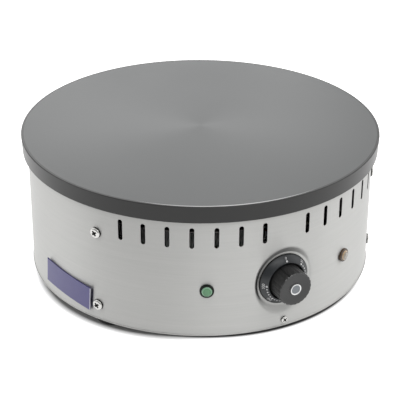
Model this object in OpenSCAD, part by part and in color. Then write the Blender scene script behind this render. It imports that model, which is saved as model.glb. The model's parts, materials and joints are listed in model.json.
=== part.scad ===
// Round electric crepe maker: a cast-iron griddle plate on a slotted steel drum.
// Millimetres. The origin is the centre of the footprint on the table, +Z is up and
// the control knob faces -Y. Angles round the drum are counted from -Y towards +X.

/* [Griddle plate] */
// Diameter of the cooking surface
plate_d = 400; // [380:5:420]
// Thickness of the plate at its rim
plate_t = 19; // [17:0.5:24]
// Height of the cooking surface above the table
total_h = 166; // [160:1:176]
// How far the rim leans in from its top edge to its bottom edge
plate_draft = 0.9; // [0.4:0.1:2]

/* [Drum] */
// How far the plate stands out past the drum
plate_overhang = 6.7; // [5:0.1:9]
// Thickness of the drum sheet
wall_t = 0.8; // [0.6:0.1:1]
// Slots on each side of the knob
slots_per_side = 7; // [3:1:7]
// Angle from one slot to the next
slot_pitch = 7.5; // [6.5:0.1:7.8]
// Width of a slot
slot_w = 5; // [3:0.5:6]
// Length of a slot
slot_l = 23.5; // [14:0.5:24]
// Depth of the slots' middle below the cooking surface
slot_drop = 39; // [37:0.5:42]

/* [Control] */
// Depth of the knob's axis below the cooking surface
control_drop = 100.2; // [96:0.1:104]
// Depth of the pressed recess round the knob
recess_depth = 5; // [4:0.5:6]
// Diameter of the flat seat in the recess
seat_d = 62.4; // [61:0.2:66]
// Slope of the recess's flare from the seat's plane
flare_angle = 33; // [30:1:42]
// Diameter of the dial
dial_d = 59; // [56:0.5:60]
// How far the dial's cone stands out from the seat
dial_h = 7.9; // [6:0.1:9]
// Diameter of the knob
knob_d = 37.8; // [36:0.2:39]
// Length of the knob along its axis
knob_l = 21.6; // [19:0.1:24]
// Finger flutes round the knob
knob_flutes = 24; // [12:1:30]
// Angle of each pilot lamp away from the knob
lamp_angle = 25.4; // [22:0.1:30]
// Diameter of a lamp's bezel
bezel_d = 15.2; // [14:0.1:18]
// Diameter of a lamp's lens
lens_d = 11.6; // [10:0.1:12]

/* [Supports] */
// Turn of the three uprights away from an even spread about the knob
upright_turn = -1.4; // [-3:0.1:3]
// Height of a rubber foot
foot_h = 12; // [10:0.5:14]
// Diameter of a rubber foot
foot_d = 32; // [26:1:36]
// Distance from the middle of the object to a foot
foot_ring = 170; // [160:1:172]

/* [Nameplate] */
// Length of the nameplate round the drum
nameplate_w = 75; // [60:0.5:78]
// Height of the nameplate
nameplate_h = 28; // [20:0.5:32]
// Turn of the nameplate out of level, right end down
nameplate_turn = 4.4; // [0:0.1:5]
// Radius that the nameplate is bent to
nameplate_bend = 310; // [220:10:340]

/* [Cable gland] */
// Diameter of the cable that the gland takes
cable_d = 10; // [8:0.5:10]
// Angle of the gland round the drum
gland_angle = 168; // [160:1:169]

/* [Hidden] */

$fn = 64;
round_fn = 180;      // facets of the large turned parts
cut = 1;             // how far a cutter runs past what it cuts
thread_gap = 0.05;   // clearance of a screw in its thread
hole_gap = 0.3;      // clearance of a screw or tube in a plain hole

// Plate
plate_r = plate_d / 2;
plate_z = total_h - plate_t;
plate_edge = 0.8;                    // bevel on the plate's top and bottom edges
web_z = plate_z + 4;                 // ceiling of the hollow under the plate
web_r = plate_r - 13;                // radius of that hollow

// Drum
drum_r = plate_r - plate_overhang;
drum_in = drum_r - wall_t;
drum_z = foot_h - 1;
drum_top = plate_z - 0.6;
bead_r = 0.8;                        // rolled bead along the drum's lower edge
slot_z = total_h - slot_drop;
front = 0;
rear = 180;

// Uprights: strips of thick sheet, bent to a flange at each end
upright_angles = [for (k = [-1, 1, 3]) 60 * k + upright_turn];
upright_t = 3;
upright_w = 30;
upright_r = drum_in - 0.05;
upright_z = foot_h + 1;
plate_bolt_ring = plate_r - 24;
drum_screw_z = [28.8, total_h - 50.3];

// Fasteners: [shank radius, head radius, head height]
m8 = [4, 7.5, 5.3];
m6 = [3, 6, 3.4];
m5 = [2.5, 4.62, 4];
m4 = [2, 3.75, 2.4];
m6_nut_r = 5.77;
m6_nut_h = 5;
washer_t = 1.5;

// Heating element
tube_r = 4;
element_z = web_z - tube_r;
ring_out = 150;
ring_in = 105;
ring_mid = (ring_out + ring_in) / 2;
ring_start = 38;                     // where the tube turns down to its ends
ring_sweep = 330;
leg_bend = 14;
leg_z = 116;

// Clamps, insulation and tray
clamp_angles = [for (k = [0:2]) 120 * k + upright_turn];
clamp_t = 3;
clamp_z = element_z - tube_r - clamp_t;
shield_z = 120.2;
shield_t = 0.8;
shield_h = 10.8;
shield_r = 165.8;
shield_lip = 187;
insulation_t = 18;

// Control
control_z = total_h - control_drop;
seat_y = drum_r - recess_depth;
seat_fold_r = 1;                     // fold between the recess's seat and its flare
lip_r = 5.5;                         // soft fold between the flare and the drum
lip_top = drum_r + 0.3;
folds = seat_fold_r + lip_r;
lip_end = seat_d / 2 + folds * sin(flare_angle)
    + (lip_top - seat_y - folds * (1 - cos(flare_angle))) / tan(flare_angle);
dial_t = 1.5;
dial_y = seat_y + dial_t;            // front of the dial's floor, under the knob
knob_y = dial_y + 2.8;
knob_end = knob_y + knob_l;
knob_bore_end = knob_end - 4.8;
spindle_r = 3;
neck_r = 5;
neck_end = dial_y + 2.4;
hub_y = neck_end + 0.4;
cap_r = 6.6;
index_angle = 25;                    // the index groove at the off stop, before the dial's zero
case_w = 44;
case_d = 32.5;
case_h = 38;
case_y = seat_y - wall_t - case_d;
fixing_x = 14;
tab_l = 8;
tab_spots = [[-12, 8], [12, 8], [-12, -8], [12, -8]];

// Bulb
bulb_r = 3;
bulb_half = 45;
bulb_y = -40;
bulb_z = web_z - 1.5;
clip_x = 25;
clip_screw_y = 9;
riser = [-60, bulb_y];

// Lamps
barrel_r = 6;
bezel_t = 2.2;
lens_y = drum_r + 0.2;
lamp_back = drum_r - 23.3;

// Base plate and feet
base_t = 1;
base_tab_w = 32;
base_tab_h = 13;
base_screw_z = foot_h + 6.1;
base_angles = [front, 120, 240];

// Nameplate: it is bent flatter than the drum, so its ends stand off
pad_t = 0.4;                         // pad at the nameplate's middle
nameplate_t = 1.5;
nameplate_angle = -74.9;
nameplate_z = 36.2;

// Cable gland
gland_z = 36;
gland_thread = 8;
gland_hex = 13.5;
gland_flange_t = 5;
gland_neck = 9.2;
gland_y = drum_r + gland_flange_t;
gland_nut_l = 15;

// Wiring: terminal block, earth stud and the routes of the wires
block_c = [25, 130];
block_size = [46, 22, 20];
block_y = block_c[1] - block_size[1] / 2;
earth_c = [85, 112];
wire_r = 1.2;
lead_r = 1.6;
wire_stub = 0.8;                     // straight length at each end of a wire
tab_y = -(case_y - tab_l);
lamp_tip = lamp_back - 7;
lamp_tab = 3.5;
pin_z = 100;
leg_out = turned([-leg_bend, -ring_out], ring_start);
leg_in = turned([-leg_bend, -ring_in], ring_start);

function turned(p, a) = [p[0] * cos(a) - p[1] * sin(a), p[0] * sin(a) + p[1] * cos(a)];
function at(p, z) = [p[0], p[1], z];
function lamp_end(side, s, back = 0) =
    at(turned([s * lamp_tab, back - lamp_tip], side * lamp_angle), control_z);
function tab_end(k, z = 0) = [tab_spots[k][0], tab_y + z, control_z + tab_spots[k][1]];

live_route = [
    [7, block_y, 22], [4, 90, 24], [-6, 20, 30], [-14, -70, 45],
    [-14, -116, 66], tab_end(0, 10), tab_end(0)
];
earth_route = [
    [40, block_y, 22], [42, 104, 24], [58, 90, 24], [72, 94, 20], [80, 106, 17.6], [82, 109, 17.5]
];
lead_a_route = [
    tab_end(1), tab_end(1, 9), [22, -130, 77], [50, -126, 82], [74, -126, 86],
    at(leg_out, 92), at(leg_out, pin_z)
];
lead_b_route = [
    at(leg_in, pin_z), at(leg_in, 90), [46, -70, 74], [32, 0, 40], [24, 80, 26],
    [21, 105, 22], [21, block_y, 22]
];
green_a_route = [
    lamp_end(-1, 1), lamp_end(-1, 1, 8), [-44, -130, 61], [-22, -131, 58], tab_end(2, 8), tab_end(2)
];
green_b_route = [
    lamp_end(-1, -1), lamp_end(-1, -1, 8), [-54, -90, 44], [-30, -10, 26], [10, 70, 20],
    [27, 104, 18], [29, block_y, 18]
];
amber_a_route = [
    lamp_end(1, -1), lamp_end(1, -1, 8), [44, -130, 61], [22, -131, 58], tab_end(3, 8), tab_end(3)
];
amber_b_route = [
    lamp_end(1, 1), lamp_end(1, 1, 8), [68, -90, 48], [52, 0, 36], [34, 80, 30],
    [26, 108, 28], [25, block_y, 28]
];
capillary_route = [
    [10, -(case_y + 15), control_z + case_h / 2], [10, -(case_y + 15), 94], [2, -148, 103],
    [-24, -110, 106], [-52, -66, 104], [-62, -46, 108], at(riser, 116), at(riser, 130),
    at(riser, 142), [-57, bulb_y, bulb_z - 1.4], [-51, bulb_y, bulb_z], [-bulb_half, bulb_y, bulb_z]
];

// ---------------------------------------------------------------- helpers

// Places something drawn with its outer end up the Z axis on the radius at an angle.
module radial(angle, z) {
    rotate([0, 0, angle])
        translate([0, 0, z])
            rotate([90, 0, 0])
                children();
}

// Puts children at each angle round the drum, at a distance out.
module around(angles, ring = 0) {
    for (a = angles)
        rotate([0, 0, a])
            translate([0, -ring, 0])
                children();
}

// A strip of a tube between two radii, two heights and two angles.
module wall_arc(r0, r1, z0, z1, a0, a1) {
    rotate([0, 0, a0 - 90])
        rotate_extrude(angle = a1 - a0, $fn = round_fn)
            translate([r0, z0])
                square([r1 - r0, z1 - z0]);
}

module ring(r0, r1, h) {
    difference() {
        cylinder(r = r1, h = h);
        translate([0, 0, -cut])
            cylinder(r = r0, h = h + 2 * cut);
    }
}

module nut(r, h, bore_r) {
    difference() {
        cylinder(r = r, h = h, $fn = 6);
        translate([0, 0, -cut])
            cylinder(r = bore_r + thread_gap, h = h + 2 * cut);
    }
}

module round_slot(w, l) {
    square([w, l - w], center = true);
    for (s = [-1, 1])
        translate([0, s * (l - w) / 2])
            circle(d = w);
}

// A pan-head screw with a cross recess: head up the Z axis from 0, shank below.
module pan_screw(size, shank_l) {
    r = size[1];
    h = size[2];
    dome = (r * r + h * h) / (2 * h) * 1.25;
    difference() {
        intersection() {
            cylinder(r = r, h = h);
            translate([0, 0, h - dome])
                sphere(r = dome);
        }
        for (a = [35, 125])
            rotate([0, 0, a])
                translate([-r * 0.64, -r * 0.14, h * 0.35])
                    cube([r * 1.28, r * 0.28, h]);
    }
    translate([0, 0, -shank_l])
        cylinder(r = size[0], h = shank_l + h * 0.3);
}

function unit(v) = v / norm(v);
function spline_at(a, b, c, d, t) =
    0.5 * (2 * b + (c - a) * t + (2 * a - 5 * b + 4 * c - d) * t * t
        + (3 * b - a - 3 * c + d) * t * t * t);
function smooth(p, n) = concat(
    [for (i = [0:len(p) - 2]) for (k = [0:n - 1])
        spline_at(p[max(i - 1, 0)], p[i], p[i + 1], p[min(i + 2, len(p) - 1)], k / n)],
    [p[len(p) - 1]]);
function tangents(p) =
    [for (i = [0:len(p) - 1]) unit(p[min(i + 1, len(p) - 1)] - p[max(i - 1, 0)])];
function sides(t, last, i = 0) =
    i == len(t) ? [] :
    let (n = unit(last - (last * t[i]) * t[i]))
    concat([n], sides(t, n, i + 1));

// A round tube swept along a line of points; side is where its first corner points.
module sweep(p, r, facets, side) {
    t = tangents(p);
    s = sides(t, side);
    rings = len(p);
    points = [for (i = [0:rings - 1]) for (k = [0:facets - 1])
        p[i] + r * (cos(360 * k / facets) * s[i] + sin(360 * k / facets) * cross(t[i], s[i]))];
    walls = [for (i = [0:rings - 2]) for (k = [0:facets - 1])
        [i * facets + k, (i + 1) * facets + k,
            (i + 1) * facets + (k + 1) % facets, i * facets + (k + 1) % facets]];
    start = [for (k = [0:facets - 1]) k];
    end = [for (k = [0:facets - 1]) rings * facets - 1 - k];
    polyhedron(points, concat(walls, [start, end]));
}

// A wire along a route, with both of its ends cut square to the route's first and last legs.
module wire(route, r, facets = 8, steps = 3) {
    line = smooth(route, steps);
    last = len(route) - 1;
    end = len(line) - 1;
    sweep(concat(
        [line[0], line[0] + wire_stub * unit(route[1] - route[0])],
        [for (i = [1:end - 1]) line[i]],
        [line[end] + wire_stub * unit(route[last - 1] - route[last]), line[end]]
    ), r, facets, [0.31, 0.23, 0.92]);
}

// ---------------------------------------------------------------- plate

// Cast plate: a drafted rim, a hollow underside, and three bosses on the uprights.
module griddle_plate() {
    color([0.24, 0.25, 0.25])
    difference() {
        union() {
            rotate_extrude($fn = round_fn)
                polygon([
                    [0, web_z], [web_r - 2, web_z], [web_r, web_z - 2], [web_r, plate_z],
                    [plate_r - plate_draft - plate_edge, plate_z],
                    [plate_r - plate_draft, plate_z + plate_edge],
                    [plate_r, total_h - plate_edge], [plate_r - plate_edge, total_h],
                    [0, total_h]
                ]);
            around(upright_angles, plate_bolt_ring)
                translate([0, 0, plate_z])
                    cylinder(r = 14, h = 5);
        }
        around(upright_angles, plate_bolt_ring)
            translate([0, 0, plate_z - cut])
                cylinder(r = m8[0] + thread_gap, h = 12 + cut);
        around(clamp_angles, ring_mid)
            translate([0, 0, web_z - cut])
                cylinder(r = m6[0] + thread_gap, h = 9 + cut);
        translate([-bulb_half - 3, bulb_y, bulb_z])
            rotate([0, 90, 0])
                cylinder(r = bulb_r + 0.1, h = 2 * bulb_half + 6);
        for (x = [-clip_x, clip_x], s = [-1, 1])
            translate([x, bulb_y + s * clip_screw_y, web_z - cut])
                cylinder(r = m4[0] + thread_gap, h = 7 + cut);
    }
}

module plate_bolts() {
    color("silver")
    around(upright_angles, plate_bolt_ring)
        translate([0, 0, plate_z - upright_t - washer_t]) {
            translate([0, 0, -m8[2]])
                cylinder(r = m8[1], h = m8[2], $fn = 6);
            cylinder(r = m8[0], h = upright_t + washer_t + 12);
        }
}

module plate_washers() {
    color("silver")
    around(upright_angles, plate_bolt_ring)
        translate([0, 0, plate_z - upright_t - washer_t])
            ring(m8[0] + hole_gap, 8, washer_t);
}

// ---------------------------------------------------------------- heater

// One tube in two rings: up a leg, round the large one, back round the small one, down.
module heating_element() {
    half = (ring_out - ring_in) / 2;
    turn_at = ring_start + ring_sweep;
    legs = [for (r = [ring_out, ring_in])
        concat([at(turned([-leg_bend, -r], ring_start), leg_z)],
            [for (b = [0:15:90])
                at(turned([-leg_bend * cos(b), -r], ring_start), element_z - leg_bend * (1 - sin(b)))])];
    u_turn = [for (c = [0:18:180])
        at(turned([half * sin(c), -ring_mid - half * cos(c)], turn_at), element_z)];
    large = [for (a = [7.5:7.5:ring_sweep - 1])
        at(turned([0, -ring_out], ring_start + a), element_z)];
    small = [for (a = [7.5:7.5:ring_sweep - 1])
        at(turned([0, -ring_in], turn_at - a), element_z)];
    back = [for (i = [len(legs[1]) - 1:-1:0]) legs[1][i]];
    color([0.32, 0.33, 0.32])
    sweep(concat(legs[0], large, u_turn, small, back), tube_r, 12, [1, 0, 0]);
}

module element_bushes() {
    color("white")
    for (p = [leg_out, leg_in])
        translate([p[0], p[1], leg_z - 6])
            ring(1.6 + thread_gap, 3.6, 6);
}

module element_pins() {
    color("silver")
    for (p = [leg_out, leg_in])
        translate([p[0], p[1], pin_z])
            cylinder(r = 1.6, h = leg_z - pin_z);
}

module clamp_bars() {
    color("gray")
    around(clamp_angles, ring_mid)
        translate([0, 0, clamp_z])
            difference() {
                linear_extrude(clamp_t)
                    round_slot(16, ring_out - ring_in + 24);
                translate([0, 0, -cut])
                    cylinder(r = m6[0] + hole_gap, h = clamp_t + 2 * cut);
            }
}

module clamp_studs() {
    color("silver")
    around(clamp_angles, ring_mid)
        translate([0, 0, shield_z - 8])
            cylinder(r = m6[0], h = web_z + 9 - shield_z + 8);
}

module clamp_nuts() {
    color("silver")
    around(clamp_angles, ring_mid)
        translate([0, 0, clamp_z - m6_nut_h])
            nut(m6_nut_r, m6_nut_h, m6[0]);
}

// Openings for the studs, the element's legs and the capillary.
module riser_holes(stud_r, leg_r, z, h) {
    around(clamp_angles, ring_mid)
        translate([0, 0, z])
            cylinder(r = stud_r, h = h);
    for (p = [leg_out, leg_in])
        translate([p[0], p[1], z])
            cylinder(r = leg_r, h = h);
    translate([riser[0], riser[1], z])
        cylinder(r = 4, h = h);
}

module insulation_disc() {
    color([0.85, 0.83, 0.76])
    difference() {
        translate([0, 0, shield_z + shield_t])
            cylinder(r = shield_r - shield_t - 0.5, h = insulation_t, $fn = round_fn);
        riser_holes(8, tube_r + 1, shield_z, insulation_t + 2);
        translate([0, 0, element_z - leg_bend])
            for (r = [ring_out, ring_in])
                rotate([0, 0, ring_start])
                    translate([-leg_bend - 5, -r - 5, -1])
                        cube([leg_bend + 8, 10, leg_bend]);
    }
}

module heat_shield() {
    color([0.78, 0.78, 0.76])
    difference() {
        rotate_extrude($fn = round_fn)
            polygon([
                [0, shield_z], [shield_r, shield_z],
                [shield_r, shield_z + shield_h - shield_t],
                [shield_lip, shield_z + shield_h - shield_t],
                [shield_lip, shield_z + shield_h],
                [shield_r - shield_t, shield_z + shield_h],
                [shield_r - shield_t, shield_z + shield_t], [0, shield_z + shield_t]
            ]);
        riser_holes(m6[0] + hole_gap, tube_r + 1, shield_z - cut, shield_t + 2 * cut);
    }
}

module shield_nuts() {
    color("silver")
    around(clamp_angles, ring_mid)
        translate([0, 0, shield_z - m6_nut_h])
            nut(m6_nut_r, m6_nut_h, m6[0]);
}

// ---------------------------------------------------------------- thermostat

// Moulded case behind the seat, with a round bellows cover and the spindle's neck.
module thermostat_body() {
    color([0.35, 0.22, 0.14])
    radial(front, control_z)
    difference() {
        union() {
            translate([-case_w / 2, -case_h / 2, case_y + 14])
                cube([case_w, case_h, case_d - 14]);
            translate([-case_w / 2 + 3, -case_h / 2 + 3, case_y])
                cube([case_w - 6, case_h - 6, 15]);
            for (s = [-1, 1])
                translate([s * (case_w / 2 - 5), 0, case_y + 6])
                    cylinder(r = 4, h = 12);
            translate([0, 0, seat_y - wall_t - cut])
                cylinder(r = neck_r, h = neck_end - seat_y + wall_t + cut);
        }
        translate([0, 0, case_y + 18])
            cylinder(r = spindle_r + thread_gap, h = neck_end);
        for (s = [-1, 1])
            translate([s * fixing_x, 0, seat_y - wall_t - 9])
                cylinder(r = m4[0] + thread_gap, h = 12);
    }
}

module thermostat_tabs() {
    color("silver")
    radial(front, control_z)
        for (p = tab_spots)
            translate([p[0] - 0.4, p[1] - 3.15, case_y - tab_l])
                cube([0.8, 6.3, tab_l]);
}

// The flat on a shaft, or on the bore that it drives.
module flatted(r, flat) {
    difference() {
        circle(r = r, $fn = 48);
        translate([-r - 1, flat])
            square(2 * r + 2);
    }
}

module thermostat_spindle() {
    color("silver")
    radial(front, control_z) {
        translate([0, 0, case_y + 18])
            cylinder(r = spindle_r, h = neck_end + 0.2 - case_y - 18);
        translate([0, 0, neck_end + 0.2])
            linear_extrude(knob_bore_end - 0.6 - neck_end - 0.2)
                flatted(spindle_r, 1.8);
    }
}

module thermostat_screws() {
    color("silver")
    radial(front, control_z)
        for (s = [-1, 1])
            translate([s * fixing_x, 0, dial_y])
                pan_screw([m4[0], 3.4, 2.1], dial_t + wall_t + 8.8);
}

module capillary_tube() {
    color([0.72, 0.45, 0.3])
    wire(capillary_route, 0.9, facets = 6);
}

module thermostat_bulb() {
    color([0.72, 0.45, 0.3])
    translate([-bulb_half, bulb_y, bulb_z])
        rotate([0, 90, 0]) {
            cylinder(r = bulb_r, h = 2 * bulb_half - bulb_r);
            translate([0, 0, 2 * bulb_half - bulb_r])
                sphere(r = bulb_r);
        }
}

// Hat-shaped saddles that hold the bulb up in its groove.
module bulb_clips() {
    clip_t = 1;
    color("silver")
    for (x = [-clip_x, clip_x])
        translate([x + 5, bulb_y, bulb_z])
            rotate([90, 0, -90])
                difference() {
                    linear_extrude(10)
                        difference() {
                            union() {
                                circle(r = bulb_r + clip_t + 0.05);
                                translate([-bulb_r - clip_t - 0.05, 0])
                                    square([2 * (bulb_r + clip_t + 0.05), web_z - bulb_z]);
                                translate([-14, web_z - bulb_z - clip_t])
                                    square([28, clip_t]);
                            }
                            circle(r = bulb_r + 0.05);
                            translate([-bulb_r - 0.05, 0])
                                square([2 * (bulb_r + 0.05), 20]);
                            translate([-20, web_z - bulb_z])
                                square([40, 20]);
                        }
                    for (s = [-1, 1])
                        translate([s * clip_screw_y, -5, 5])
                            rotate([-90, 0, 0])
                                cylinder(r = m4[0] + hole_gap, h = 20);
                }
}

module bulb_screws() {
    color("silver")
    for (x = [-clip_x, clip_x], s = [-1, 1])
        translate([x, bulb_y + s * clip_screw_y, web_z - 1])
            rotate([180, 0, 0])
                pan_screw(m4, 7.5);
}

// ---------------------------------------------------------------- control

// A moulded shell: a cone that carries the scale, round a sunk floor under the knob.
module dial_plate() {
    mouth = knob_d / 2 + 2.1;
    shell = 1.6;
    edge = dial_d / 2;
    side_h = 1.8;
    slope = (dial_h - side_h) / (edge - mouth - 1.2);
    under = side_h - shell * sqrt(1 + slope * slope);    // the cone's back, as if carried to the edge
    color([0.1, 0.1, 0.1])
    radial(front, control_z)
    difference() {
        translate([0, 0, seat_y])
            rotate_extrude($fn = 96)
                polygon([
                    [neck_r + hole_gap, 0], [mouth + shell, 0],
                    [mouth + shell, under + slope * (edge - mouth - shell)],
                    [edge - shell, under + slope * shell], [edge - shell, 0], [edge, 0],
                    [edge, side_h - 0.3], [edge - 0.3, side_h + 0.3 * slope],
                    [mouth + 1.2, dial_h], [mouth + 0.4, dial_h], [mouth, dial_h - 0.4],
                    [mouth, dial_t], [neck_r + hole_gap, dial_t]
                ]);
        for (s = [-1, 1])
            translate([s * fixing_x, 0, seat_y - cut])
                cylinder(r = m4[0] + hole_gap, h = dial_t + 2 * cut);
    }
}

// Fluted knob: a hollow skirt, a hub with a flatted bore and a dished front round the cap.
module knob() {
    r = knob_d / 2;
    skirt_t = 1.7;
    flute_r = 2.2;
    flute_depth = 0.4;
    dish = 0.6;
    floor_y = knob_y + 10.6;
    color([0.2, 0.2, 0.2])
    radial(front, control_z)
    difference() {
        rotate_extrude($fn = 96)
            polygon([
                [0, hub_y], [6, hub_y], [6, floor_y], [r - skirt_t, floor_y],
                [r - skirt_t, knob_y], [r, knob_y], [r, knob_end - 1],
                [r - 0.3, knob_end - 0.3], [r - 1, knob_end], [r - 3, knob_end],
                [cap_r + 3.4, knob_end - dish], [cap_r + 0.1, knob_end - dish],
                [cap_r + 0.1, knob_end - 1.6], [0, knob_end - 1.6]
            ]);
        translate([0, 0, hub_y - cut])
            linear_extrude(knob_bore_end - hub_y + cut)
                flatted(spindle_r + thread_gap, 1.85);
        for (k = [0:knob_flutes - 1])
            rotate([0, 0, 360 * (k + 0.5) / knob_flutes])
                translate([0, r - flute_depth + flute_r, knob_y + 4.6])
                    cylinder(r = flute_r, h = knob_l, $fn = 32);
        rotate([0, 0, index_angle])
            translate([-0.6, r - 0.9, knob_y - cut])
                cube([1.2, 2, knob_l + 2 * cut]);
    }
}

module knob_cap() {
    color("silver")
    radial(front, control_z)
        rotate_extrude()
            polygon([
                [0, knob_end - 1.6], [cap_r, knob_end - 1.6], [cap_r, knob_end + 0.3],
                [cap_r - 0.5, knob_end + 0.8], [cap_r - 1.2, knob_end + 0.8],
                [cap_r - 1.6, knob_end + 0.3], [0, knob_end + 0.3]
            ]);
}

// ---------------------------------------------------------------- drum

// Points along an arc of n steps from one angle to another.
function arc(c, r, a0, a1, n) =
    [for (i = [0:n]) c + r * [cos(a0 + (a1 - a0) * i / n), sin(a0 + (a1 - a0) * i / n)]];

// Half section of the pressed recess, t below its front: flat seat, tight fold, flare, soft lip.
function recess_line(t) = concat(
    [[0, seat_y - t]],
    arc([seat_d / 2, seat_y + seat_fold_r], seat_fold_r + t, -90, flare_angle - 90, 3),
    arc([lip_end, lip_top - lip_r], lip_r - t, 90 + flare_angle, 90, 6)
);

// The pressed recess: a flat seat and a flared wall of the same sheet.
module recess_sheet() {
    back = recess_line(wall_t);
    intersection() {
        cylinder(r = drum_r, h = total_h, $fn = round_fn);
        radial(front, control_z)
            rotate_extrude($fn = 96)
                polygon(concat(recess_line(0), [for (i = [len(back) - 1:-1:0]) back[i]]));
    }
}

// The room in front of the recess, which opens the drum's wall.
module recess_mouth() {
    radial(front, control_z)
        rotate_extrude($fn = 96)
            polygon(concat(recess_line(0), [[lip_end, drum_r + 5], [0, drum_r + 5]]));
}

module slot_cutters() {
    for (side = [front, rear], s = [-1, 1], k = [1:slots_per_side])
        radial(side + s * k * slot_pitch, slot_z)
            translate([0, 0, drum_r - 6])
                linear_extrude(12)
                    round_slot(slot_w, slot_l);
}

module drum_wall() {
    color([0.77, 0.77, 0.75])
    difference() {
        union() {
            difference() {
                union() {
                    translate([0, 0, drum_z])
                        cylinder(r = drum_r, h = drum_top - drum_z, $fn = round_fn);
                    translate([0, 0, drum_z + bead_r])
                        rotate_extrude($fn = round_fn)
                            translate([drum_r, 0])
                                circle(r = bead_r, $fn = 24);
                }
                translate([0, 0, drum_z - cut])
                    cylinder(r = drum_in, h = total_h, $fn = round_fn);
                recess_mouth();
            }
            recess_sheet();
        }
        slot_cutters();
        radial(front, control_z) {
            translate([0, 0, seat_y - 3])
                cylinder(r = neck_r + hole_gap, h = 6);
            for (s = [-1, 1])
                translate([s * fixing_x, 0, seat_y - 3])
                    cylinder(r = m4[0] + hole_gap, h = 6);
        }
        for (s = [-1, 1])
            radial(s * lamp_angle, control_z)
                translate([0, 0, drum_r - 6])
                    cylinder(r = barrel_r + 0.1, h = 12);
        for (a = upright_angles, z = drum_screw_z)
            radial(a, z)
                translate([0, 0, drum_r - 6])
                    cylinder(r = m6[0] + hole_gap, h = 12);
        for (a = base_angles)
            radial(a, base_screw_z)
                translate([0, 0, drum_r - 6])
                    cylinder(r = m4[0] + hole_gap, h = 12);
        radial(gland_angle, gland_z)
            translate([0, 0, drum_r - 6])
                cylinder(r = gland_thread + 0.2, h = 12);
    }
}

// One upright: a rolled web against the drum, a flange under the plate and one on the base.
module upright(angle) {
    foot_end = foot_ring - 18;
    plate_end = plate_bolt_ring - 16;
    color([0.55, 0.56, 0.56])
    difference() {
        intersection() {
            cylinder(r = upright_r, h = total_h, $fn = round_fn);
            rotate([0, 0, angle])
                translate([-upright_w / 2, -plate_r, upright_z])
                    difference() {
                        cube([upright_w, plate_r - foot_end, plate_z - upright_z]);
                        translate([upright_w / 2, plate_r, upright_t])
                            cylinder(r = upright_r - upright_t, h = plate_z - upright_z - 2 * upright_t,
                                $fn = round_fn);
                        translate([-cut, plate_r - plate_end, upright_t])
                            cube([upright_w + 2 * cut, foot_ring, plate_z]);
                    }
        }
        around([angle], plate_bolt_ring)
            translate([0, 0, plate_z - upright_t - cut])
                cylinder(r = m8[0] + hole_gap, h = upright_t + 2 * cut);
        around([angle], foot_ring)
            translate([0, 0, upright_z - cut])
                cylinder(r = m6[0] + hole_gap, h = upright_t + 2 * cut);
        for (z = drum_screw_z)
            radial(angle, z)
                translate([0, 0, upright_r - upright_t - 3])
                    cylinder(r = m6[0] + thread_gap, h = 8);
    }
}

module upright_left() {
    upright(upright_angles[0]);
}

module upright_right() {
    upright(upright_angles[1]);
}

module upright_rear() {
    upright(upright_angles[2]);
}

module drum_screws() {
    color([0.85, 0.85, 0.83])
    for (a = upright_angles, z = drum_screw_z)
        radial(a, z)
            translate([0, 0, drum_r])
                pan_screw(m6, 9);
}

// ---------------------------------------------------------------- base

// Bottom cover: vented, with three tabs turned up against the drum.
module base_plate() {
    vent_ring = 96;
    vents = 18;
    base_r = drum_in - 0.1;
    color([0.7, 0.7, 0.69])
    difference() {
        intersection() {
            translate([0, 0, foot_h])
                cylinder(r = base_r, h = base_tab_h, $fn = round_fn);
            difference() {
                union() {
                    translate([0, 0, foot_h])
                        cylinder(r = plate_r, h = base_t);
                    around(base_angles, plate_r)
                        translate([-base_tab_w / 2, 0, foot_h])
                            cube([base_tab_w, plate_r / 8, base_tab_h]);
                }
                translate([0, 0, foot_h + base_t])
                    cylinder(r = base_r - 1.2, h = base_tab_h, $fn = round_fn);
            }
        }
        for (a = base_angles)
            radial(a, base_screw_z)
                translate([0, 0, drum_in - 6])
                    cylinder(r = m4[0] + thread_gap, h = 10);
        around(upright_angles, foot_ring)
            translate([0, 0, foot_h - cut])
                cylinder(r = m6[0] + hole_gap, h = base_t + 2 * cut);
        around([for (k = [0:vents - 1]) 360 * (k + 0.5) / vents], vent_ring)
            translate([0, 0, foot_h - cut])
                linear_extrude(base_t + 2 * cut)
                    round_slot(5, 40);
        for (s = [-1, 1])
            translate([block_c[0] + s * 17, block_c[1], foot_h - cut])
                cylinder(r = 1.5 + thread_gap, h = base_t + 2 * cut);
    }
}

module base_screws() {
    color([0.85, 0.85, 0.83])
    for (a = base_angles)
        radial(a, base_screw_z)
            translate([0, 0, drum_r])
                pan_screw(m4, 6.5);
}

module foot(angle) {
    r = foot_d / 2;
    color([0.12, 0.12, 0.12])
    around([angle], foot_ring)
        rotate_extrude()
            polygon([
                [m6[0] + hole_gap, 7], [7.5, 7], [7.5, 0], [r - 1.5, 0], [r, 1.5],
                [r - 0.6, foot_h - 1], [r - 1.6, foot_h], [m6[0] + hole_gap, foot_h]
            ]);
}

module foot_left() {
    foot(upright_angles[0]);
}

module foot_right() {
    foot(upright_angles[1]);
}

module foot_rear() {
    foot(upright_angles[2]);
}

module foot_screws() {
    color("silver")
    around(upright_angles, foot_ring)
        translate([0, 0, 7])
            rotate([180, 0, 0])
                pan_screw(m6, upright_z + upright_t + m6_nut_h + 1 - 7);
}

module foot_nuts() {
    color("silver")
    around(upright_angles, foot_ring)
        translate([0, 0, upright_z + upright_t])
            nut(m6_nut_r, m6_nut_h, m6[0]);
}

// ---------------------------------------------------------------- lamps

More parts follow.
